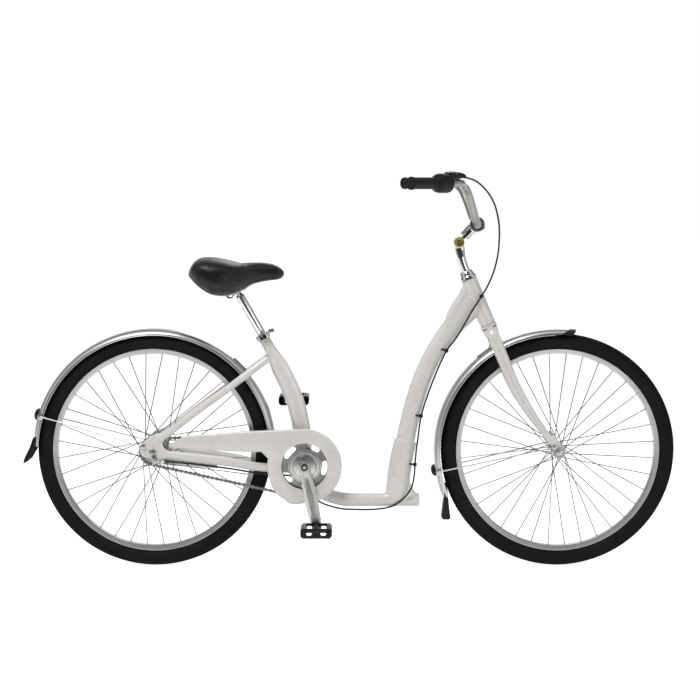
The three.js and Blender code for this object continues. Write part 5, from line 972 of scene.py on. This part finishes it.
def brace_cap(name, axle, degrees, rise, body):
    """A black domed cap on the mudguard's crown over the brace's end."""
    angle = math.radians(degrees)
    place = placed(polar(axle, 341 + rise, angle), Vector((-math.sin(angle), 0, math.cos(angle))), ACROSS, 13, 10)
    piece(name, ball(place, 17), plastic, body, sharp=80)


brace_cap("rear_brace_cap", REAR_AXLE, 163, 0.5, "frame")
brace_cap("front_brace_cap", FRONT_AXLE, 189.6, 7.5, "steering")


def mud_flap(outline):
    """A rubber flap with side lobes, open towards the tyre."""
    bm = prism(outline, -27, 27)
    bmesh.ops.recalc_face_normals(bm, faces=bm.faces)
    inner = [f for f in bm.faces if f.normal.x > 0.3 or abs(f.normal.z) > 0.8]
    bmesh.ops.delete(bm, geom=inner, context="FACES")
    return bm


FLAPS = (("rear", "frame", ((-338, 362), (-330, 366), (-330, 345), (-332, 328), (-349, 299), (-366, 291), (-362, 306),
                            (-347, 336))),
         ("front", "steering", ((810, 229), (817, 229), (820, 208), (824, 168), (828, 137), (824, 132), (806, 132),
                                (803, 137), (807, 170), (810, 200))))
for label, body, outline in FLAPS:
    piece(f"{label}_mud_flap", mud_flap(outline), grip_rubber, body, f"{label}_flap", modifiers=[sheet(3), bevel(0.8)])
for label in ("rear", "front"):
    from_node(f"{label}_mudguard_bracket", steel, 0.4)

# Wire braces

for label in ("rear", "front"):
    for _, side_name in SIDES:
        from_node(f"{side_name}_{label}_brace", steel, 0.4)

# Brake arm, gear bracket, bell crank

for name in ("brake_arm", "shift_lever"):
    from_node(name, steel, 0.5)
from_node("shift_bracket", satin, 0.5)

# Seat clamp and post

from_node("seat_clamp", plastic, 0.6)
from_node("clamp_skewer", satin, 0.5)
LEVER_PIVOT = at(317, -25, 651.4)
thumb_bar = block(placed(LEVER_PIVOT + Vector((11, -5, 11)) * MM, Vector((0.96, 0, 0.27)), ACROSS, 5, 11), 16)
cam = turned(LEVER_PIVOT, SEAT_UP, [(-7, 0), (-7, 5.6), (-6.4, 6.2), (8, 6.2), (8.6, 5.6), (8.6, 0)], 32)
piece("cam_lever_bar", together([thumb_bar, cam]), satin, "clamp_lever", "quick_release_lever",
      modifiers=[bevel(1.2, 3)])
post = turned(on_seat(-110), SEAT_UP, [(0, 0), (0, 12), (1, 12.7), (231, 12.7), (237, 8.2), (243, 8), (243, 0)], 48)
CLAMP = on_seat(142)
barrel = turned(CLAMP, ACROSS, mirrored([(9, 0), (9, 11.5), (8.5, 12)]), 40)
piece("chromed_seat_post", together([post, barrel]), chrome, "post", "seat_post")
from_node("saddle_clamp", steel, 0.6)

# Saddle: a padded cover on a moulded base

SADDLE = [(98, 823, 812, 34), (105, 841, 805, 62), (119, 858.5, 789, 84), (136, 865.5, 775, 94), (161, 866, 760.5, 101),
          (194, 861, 756, 99), (216.5, 855, 759, 89), (238, 848.8, 767.5, 70), (262, 848, 781.5, 50),
          (289, 851, 792.5, 37), (322, 849.5, 799, 30), (344, 843, 801.5, 28), (355, 836, 805.5, 23),
          (362, 829, 811, 15), (365, 823, 817, 8)]


def saddle_rows(count):
    """The saddle's stations, read smoothly between the measured ones."""
    tops = spline([Vector((x, t, b)) for x, t, b, _ in SADDLE], count)
    widths = spline([Vector((x, w, 0)) for x, _, _, w in SADDLE], count * 4)
    rows = []
    for p in tops:
        near = min(widths, key=lambda w: abs(w.x - p.x))
        rows.append((p.x, p.y, p.z, near.y))
    return rows


def saddle_section(verts):
    """A saddle's cross section on a unit ring: full shoulders above, and a flatter belly that tucks in."""
    for v in verts:
        wide, tall = v.co.x, v.co.y
        v.co.x = math.copysign(abs(wide) ** 0.75, wide)
        v.co.y = 0.45 * tall**0.8 if tall > 0 else -0.55 * abs(tall) ** 0.7


def saddle_cover():
    places = []
    for x, top, bottom, half in saddle_rows(44):
        tall = top - bottom
        spot = at(x, 0, top - tall * 0.45)
        places.append(Matrix.Translation(spot) @ Matrix(((0, 0, 1), (half * MM, 0, 0), (0, tall * MM, 0))).to_4x4())
    return swept(places, 40, saddle_section)


def filled(obj, voxel, pressure, cap, slack, frames):
    """Fills a pad as cloth under pressure, with its belly held still.

    The skin starts too small by slack, and no spot moves further than cap, in millimetres.
    """
    mesh = obj.data.copy()
    bm = bmesh.new()
    bm.from_mesh(mesh)
    for v in bm.verts:
        v.co -= v.normal * slack * MM
    bm.to_mesh(mesh)
    bm.free()
    trial = in_scene("pad_trial", mesh)
    remesh = trial.modifiers.new("remesh", "REMESH")
    remesh.mode = "VOXEL"
    remesh.voxel_size = voxel * MM
    settle(trial)
    start = [v.co.copy() for v in trial.data.vertices]
    held = trial.vertex_groups.new(name="held")
    held.add([v.index for v in trial.data.vertices if v.normal.z < -0.3], 1.0, "REPLACE")
    cloth = trial.modifiers.new("cloth", "CLOTH")
    cloth.settings.use_pressure = True
    cloth.settings.uniform_pressure_force = pressure
    cloth.settings.effector_weights.gravity = 0
    cloth.settings.vertex_group_mass = "held"
    cloth.point_cache.frame_end = frames
    for frame_number in range(1, frames + 1):
        bpy.context.scene.frame_set(frame_number)
    swollen = trial.evaluated_get(bpy.context.evaluated_depsgraph_get())
    ends = [v.co.copy() for v in swollen.data.vertices]
    trial.modifiers.clear()
    for v, old, new in zip(trial.data.vertices, start, ends):
        move = new - old
        v.co = old + move * min(1, cap * MM / max(move.length, 1e-9))
    bpy.context.scene.frame_set(1)
    fine = trial.modifiers.new("fine", "SUBSURF")
    fine.levels = fine.render_levels = 1
    settle(trial)
    trial.data.shade_smooth()
    trial.data.materials.clear()
    trial.data.materials.append(obj.data.materials[0])
    obj.data = trial.data
    bpy.data.objects.remove(trial)


cover = piece("padded_saddle_cover", saddle_cover(), vinyl, "saddle", "saddle_cover", sharp=180)
filled(cover, voxel=5, pressure=4.0, cap=6, slack=1.0, frames=20)

# Seams laid on the cover as its cloth came out: rows of (radius, points seen from the side)

SEAMS = ((1.2, ((108, 838), (124, 848), (150, 847), (180, 846), (206, 844), (226, 838))),
         (1.0, ((161, 846), (160, 825), (158, 800), (160, 777))),
         (1.0, ((206, 835), (214, 815), (220, 795), (222, 775))),
         (1.6, ((103, 818), (128, 793), (152, 775), (178, 767), (205, 766), (228, 773), (252, 784), (285, 799),
                (318, 805.5))))


def seam(skin, side, radius, points):
    """A bead where rays from one side meet the cover, sunk by a fifth of its radius."""
    hits = [skin.ray_cast(spot, -ACROSS * side)[0] for spot in spline(in_plane(points, side * 200), 24)]
    return tube([spot - ACROSS * side * radius * 0.2 * MM for spot in hits if spot], 60, 8, radius)


shape = bmesh.new()
shape.from_mesh(cover.data)
skin = BVHTree.FromBMesh(shape)
shape.free()
stitching = [seam(skin, side, radius, points) for side in (-1, 1) for radius, points in SEAMS]
piece("saddle_piping", together(stitching), vinyl, "saddle", sharp=180)
from_node("saddle_base", plastic, 0.8)


def rail(side):
    """A rail's line from the nose through the clamp to the back of the cover."""
    z = CLAMP.z / MM
    line = [(331, 3, 815.4), (316, 8, 808), (292, 16, z + 26), (268, 21, z + 14), (251, 22, z + 2), (242, 22, z),
            (220, 22, z), (200, 22, z), (172, 28, z + 12), (146, 38, 812), (137, 42, 828)]
    return [at(x, side * out, height) for x, out, height in line]


LOOP_LINE = ((200, 766), (204, 756), (213, 751.5), (221, 756), (225, 770))
pads = [turned(at(137, side * 42, 824), (0, 0, 1), [(0, 0), (0, 5), (0.5, 5.5), (8, 5.5), (8.2, 5), (8.2, 0)], 24)
        for side in (-1, 1)]
front_bend = tube([at(331, -5, 815.4), at(331, 5, 815.4)], 2, 16, 3.5)
piece("saddle_wire_loops", together([tube(in_plane(LOOP_LINE, side * 16), 30, 12, 2) for side in (-1, 1)]), steel,
      "saddle")
piece("saddle_wire_rails", together([*(tube(rail(side), 60, 16, 3.4) for side in (-1, 1)), *pads, front_bend]), steel,
      "saddle", "saddle_rails")

# Stem

PIVOT = on_steer(-243, 14)
ARM_WAY = Vector((math.cos(math.radians(45)), 0, math.sin(math.radians(45))))
CLAMP_BAR = PIVOT + ARM_WAY * 70 * MM
quill = tube([on_steer(-101), on_steer(-161), on_steer(-186, 1), on_steer(-213, 6), PIVOT], 40, 32,
             [(0, 12.2, 12.2), (0.7, 12.2, 12.6), (0.86, 8.2, 13.6), (1, 8, 14)], flat=True)
eye = turned(PIVOT, ACROSS, mirrored([(9, 0), (9, 14), (8.2, 15)]), 40)
piece("curved_quill", together([quill, eye]), chrome, "steering", "stem_quill", sharp=50, modifiers=welded(1.2, 3))
from_node("stem_arm", chrome, 1.2, 3)
bolt = turned(PIVOT, ACROSS, [(-20.6, 0), (-20.6, 7), (-21.2, 8), (-21.2, 12.6), (-20.2, 13.8), (-17.3, 13.8),
                              (-17.3, 5), (17.3, 5), (17.3, 13), (20.4, 13), (21, 12.4), (22, 0)], 48)
piece("zinc_pivot_bolt", bolt, zinc, "bars", "stem_pivot_bolt")
screw_head = turned(PIVOT, -ACROSS, [(20.4, 0), (20.4, 4.6), (23.4, 4.6), (24.2, 4), (24.2, 2.4), (21.6, 2.2),
                                     (21.6, 0)], 6)
piece("pivot_screw", screw_head, steel, "bars")
# Painted shade: a thin black ring filling the recess round the screw head, where shade falls.
screw_recess_shade = turned(PIVOT, -ACROSS, [(20.4, 4.9), (21.6, 5), (21.6, 6.6), (20.4, 6.8)], 32)
piece("pivot_screw_recess_shade", screw_recess_shade, plastic, "bars")


def arm_dark_strip(side):
    """A black block set into the arm's flank between the pivot and the clamp."""
    middle = PIVOT + ARM_WAY * 32 * MM + ACROSS * side * 14.6 * MM - STEER_AHEAD * 1 * MM
    return block(placed(middle, ARM_WAY, ACROSS, 3.6, 8), 30)


piece("stem_arm_dark_strips", together([arm_dark_strip(-1), arm_dark_strip(1)]), plastic, "bars", modifiers=[bevel(1.2, 3)])
clamp_screw = turned(CLAMP_BAR + (ARM_WAY * 20 - STEER_AHEAD * 6) * MM + ACROSS * -8 * MM, -ACROSS,
                     [(-3, 0), (-3, 4.4), (3, 4.4), (4, 3.6), (4, 2), (1.6, 1.8), (1.6, 0)], 24)
piece("bar_clamp_screw", clamp_screw, steel, "bars")

# Handlebar, grips and shifter

GRIP_ANGLE = math.radians(44)


def grip_way(side):
    return Vector((-math.cos(GRIP_ANGLE), side * math.sin(GRIP_ANGLE), 0))


def along_grip(side, back):
    """A spot on a grip's axis, as far from its outer end as back says."""
    return at(706, side * 300, 1070) - grip_way(side) * back * MM


def bar_half(side):
    steps = [(0, 28, 0), (-8, 50, 18), (-21, 80, 58), (-34, 108, 92)]
    return [*(Vector((CLAMP_BAR.x + x * MM, side * y * MM, CLAMP_BAR.z + z * MM)) for x, y, z in steps),
            Vector((CLAMP_BAR.x - 47 * MM, side * 133 * MM, 1.064)),
            *(along_grip(side, back) for back in (190, 172, 140, 4))]


bar = tube([*bar_half(-1)[::-1], CLAMP_BAR, *bar_half(1)], 160, 28, 11.1)
bulge = turned(CLAMP_BAR, ACROSS, mirrored([(30, 0), (30, 11.2), (26, 12.7)]), 40)
piece("swept_handlebar", together([bar, bulge]), bar_metal, "bars", "handlebar", sharp=50)


def grip_outline(length):
    """A grip with a domed end, fine ribs and a flared collar, as (distance, radius) from its outer end."""
    rows = [(0, 11.4), (0, 13), (-2, 16), (-2, 17), (0, 17.5), (5, 17.5), (6, 15.4)]
    for start in range(8, length - 16, 5):
        rows += [(start, 15.1), (start + 0.8, 15.6), (start + 3.4, 15.6), (start + 4.2, 15.1)]
    return [*rows, (length - 8, 15.6), (length - 3, 18.4), (length - 1, 20), (length, 20), (length, 11.4)]


for side, label, length in ((-1, "right", 92), (1, "left", 128)):
    end_cap = turned(along_grip(side, -2), -grip_way(side), [(0, 0), (-0.4, 10), (0, 13), (1.2, 13), (1.2, 0)], 32)
    body = turned(along_grip(side, 0), -grip_way(side), grip_outline(length), 40)
    piece(f"{label}_ribbed_grip", together([body, end_cap]), grip_rubber, "bars", f"{label}_grip")


def ribbed_sleeve():
    """The twist shifter's sleeve, with grooves cut along it."""
    outline = [(92.3, 11.4), (92.3, 20), (96, 22.5), (101, 25), (107, 26), (136, 26), (140, 25.4), (142.3, 24),
               (142.3, 11.4)]
    origin, axis = along_grip(-1, 0), -grip_way(-1)
    bm = turned(origin, axis, outline, 72)
    side = axis.orthogonal().normalized()
    deep = axis.cross(side)
    for v in bm.verts:
        arm = v.co - origin
        far = arm.dot(axis) / MM
        out = arm - axis * arm.dot(axis)
        if 98 < far < 138 and out.length > 0.02:
            angle = math.atan2(out.dot(deep), out.dot(side))
            v.co -= out.normalized() * (0.9 * MM if math.sin(angle * 18) > 0.2 else 0)
    return bm


piece("ribbed_twist_sleeve", ribbed_sleeve(), grip_rubber, "twist_sleeve", "shifter_twist_sleeve", sharp=50)


CABLE_EXIT = at(856, -176, 1086)


def shifter_body():
    """A slim clamp round the bar with a hump that narrows to the cable's exit."""
    inner = along_grip(-1, 172)
    route = ((along_grip(-1, 143.5), 17), (along_grip(-1, 156), 19), (inner, 19.5),
             (CABLE_EXIT.lerp(inner, 0.3), 9), (CABLE_EXIT, 0))
    hump = tube([spot + Vector((0, 0, lift)) * MM for spot, lift in route], 30, 24,
                [(0, 17, 14), (0.3, 16.5, 13), (0.55, 13, 10), (0.85, 7, 6.4), (1, 4.6, 4.6)])
    collar = turned(along_grip(-1, 0), -grip_way(-1), [(142.9, 11.4), (142.9, 14.6), (143.4, 15.2), (145.6, 14.6),
                                                       (146.6, 12.4), (146.6, 11.4)], 40)
    return together([hump, collar])


piece("shifter_body", shifter_body(), plastic, "bars", "shifter_housing")


# The small clear window over the gear marks, a crowned lens on the housing
way = -grip_way(-1)
lens = ball(placed(along_grip(-1, 150) + Vector((0, 0, 29.6)) * MM, way, way.cross(Vector((0, 0, 1))), 9, 5), 13)
bmesh.ops.recalc_face_normals(lens, faces=lens.faces)
piece("gear_indicator_window", lens, window, "bars", sharp=60)

# Gear cable: the three lengths of casing, and the clips that hold it

CABLE_RADIUS = 2.5
CABLE_FRAME = [at(*spot) for spot in (
    (911, -29, 758), (886, -29, 719), (842, -27, 643), (815, -27.6, 607), (776, -25, 519), (745, -25, 424),
    (736, -27, 362), (731, -28.5, 325), (728, -28.5, 288), (726, -28.5, 258), (718, -27.5, 222), (697, -26.8, 193),
    (668, -18, 170), (620, -10, 159), (560, -8, 158), (517, -8, 161), (458, -10, 182), (414, -16, 228),
    (400, -22, 244), (380, -28, 256), (338, -33, 259.5), (290, -39, 265), (220, -46, 278), (110, -56, 293.5),
    (60, -64, 299.5), (33, -71, 303))]
CABLE_MIDDLE = at(957, -60, 930)
CABLE_BARS = [CABLE_EXIT, at(887, -150, 1075), at(918, -122, 1048), at(941, -94, 1011), at(954, -72, 964), CABLE_MIDDLE]
CABLE_STEER = [CABLE_MIDDLE, at(955, -46, 880), at(944, -36, 828), at(927, -30, 786), CABLE_FRAME[0]]
for part, node, line, count, body in (
        ("on_frame", "frame", CABLE_FRAME, 220, "frame"),
        ("to_bars", "bars", CABLE_BARS, 48, ("bars", "steering", CABLE_EXIT, CABLE_MIDDLE)),
        ("to_head", "steering", CABLE_STEER, 48, ("steering", "frame", CABLE_MIDDLE, CABLE_FRAME[0]))):
    piece(f"gear_cable_{part}", tube(line, count, 12, CABLE_RADIUS), cable_skin, body, f"shift_cable_{node}")


def clip(spot, toward, along):
    """A black clamp round the casing with a tab that reaches the tube."""
    collar = turned(spot, along, mirrored([(5, 2.5), (5, 4.4), (4.4, 5)]), 20)
    return together([collar, tube([spot.lerp(toward, 0.3), toward], 2, 12, 3.0)])


for i, (k, toward) in enumerate(((0, at(906, -12, 760)), (3, at(800, -16, 610)), (5, at(730, -16, 424)),
                                 (8, at(714, -18, 288)))):
    spot = CABLE_FRAME[k]
    piece(f"cable_clip_{i + 1}", clip(spot, toward, CABLE_FRAME[k + 1] - spot), plastic, "frame")

# Stage, lights and camera

def seen_directly(tree):
    """One where the camera, a mirror or glass looks straight at this surface, nought for soft light."""
    total = shader_node(tree, "LightPath", "Is Camera Ray")
    for ray in ("Is Glossy Ray", "Is Transmission Ray"):
        total = combined(tree, "MAXIMUM", total, shader_node(tree, "LightPath", ray))
    return total


def from_front(tree, coordinates, **reach):
    """How far back a spot lies, in a range from the camera's side."""
    place = shader_node(tree, "TexCoord", coordinates)
    return shader_node(tree, "MapRange", "Result", Value=shader_node(tree, "SeparateXYZ", "Y", Vector=place), **reach)


SOFT_SHARE, FLOOR_GLOW, MIRRORED_GLOW = 0.62, 0.8, 0.08
WORLD_SHADES = ((0.0, 0.05), (0.2, 0.09), (0.31, 0.85), (0.5, 1.0), (0.58, 0.22), (0.8, 0.16), (0.88, 1.0))


def world_light():
    """A white surround that is dark on the camera's side, so that metal shows its form as in a studio."""
    world = bpy.data.worlds.new("studio")
    bpy.context.scene.world = world
    world.use_nodes = True
    tree = world.node_tree
    shades = [(spot, shade, shade, shade) for spot, shade in WORLD_SHADES]
    colour = ramp(tree, from_front(tree, "Generated", From_Min=-1), shades)
    strength = shader_node(tree, "MapRange", "Result", Value=seen_directly(tree), To_Min=SOFT_SHARE, To_Max=1.0)
    feed(tree, tree.nodes["Background"], Color=colour, Strength=strength)


def floor():
    """A white sheet; in metal the part of it in front of the bike mirrors as the dark of a studio."""
    bm = bmesh.new()
    bmesh.ops.create_grid(bm, x_segments=2, y_segments=2, size=30)
    ground = in_scene("studio_floor", as_mesh("studio_floor", bm))
    material = finish("pale_floor", None, [(0.84, 0.84, 0.84), (0.86, 0.86, 0.86)], 0.9, patch=0.4, bump=0.0)
    tree = material.node_tree
    shader = tree.nodes["Principled BSDF"]
    front = from_front(tree, "Object", From_Min=-1.6, From_Max=-2.8, To_Min=1.0, To_Max=MIRRORED_GLOW)
    in_mirror = shader_node(tree, "MapRange", "Result", Value=shader_node(tree, "LightPath", "Is Glossy Ray"),
                            To_Min=1.0, To_Max=front)
    glow = combined(tree, "MULTIPLY", seen_directly(tree), FLOOR_GLOW)
    paper = tree.nodes.new("ShaderNodeMix")
    paper.data_type = "RGBA"
    feed(tree, paper, Factor=in_mirror, A=(0.06, 0.06, 0.06, 1), B=shader.inputs["Base Color"].links[0].from_socket)
    feed(tree, shader, Emission_Color=(1, 1, 1, 1), Emission_Strength=combined(tree, "MULTIPLY", glow, in_mirror),
         Base_Color=paper.outputs["Result"])
    ground.data.materials.append(material)


def aimed(obj, spot, goal):
    obj.location = spot
    obj.rotation_euler = (goal - spot).to_track_quat("-Z", "Y").to_euler()


world_light()
floor()
for name, spot, goal_height, power in (("key", (-1.2, -2.0, 3.6), 0.5, 84), ("fill", (2.8, -3.0, 1.2), 0.5, 20),
                                       ("rim", (0.5, 3.0, 2.6), 0.6, 16)):
    data = bpy.data.lights.new(name, "AREA")
    data.size = 1.6
    data.energy = power
    aimed(in_scene(name, data), Vector(spot), Vector((0, 0, goal_height)))

CAMERA_GOAL = Vector((0.0035, 0, 0.6063))
CAMERA_AWAY = 5.4
CAMERA_RISE = math.radians(4.93)
camera_data = bpy.data.cameras.new("camera")
camera_data.lens = 99.5
camera_data.sensor_width = 36
camera = in_scene("camera", camera_data)
aimed(camera, CAMERA_GOAL + Vector((0, -CAMERA_AWAY * math.cos(CAMERA_RISE), CAMERA_AWAY * math.sin(CAMERA_RISE))),
      CAMERA_GOAL)
bpy.context.scene.camera = camera
bpy.context.scene.view_settings.view_transform = "Standard"
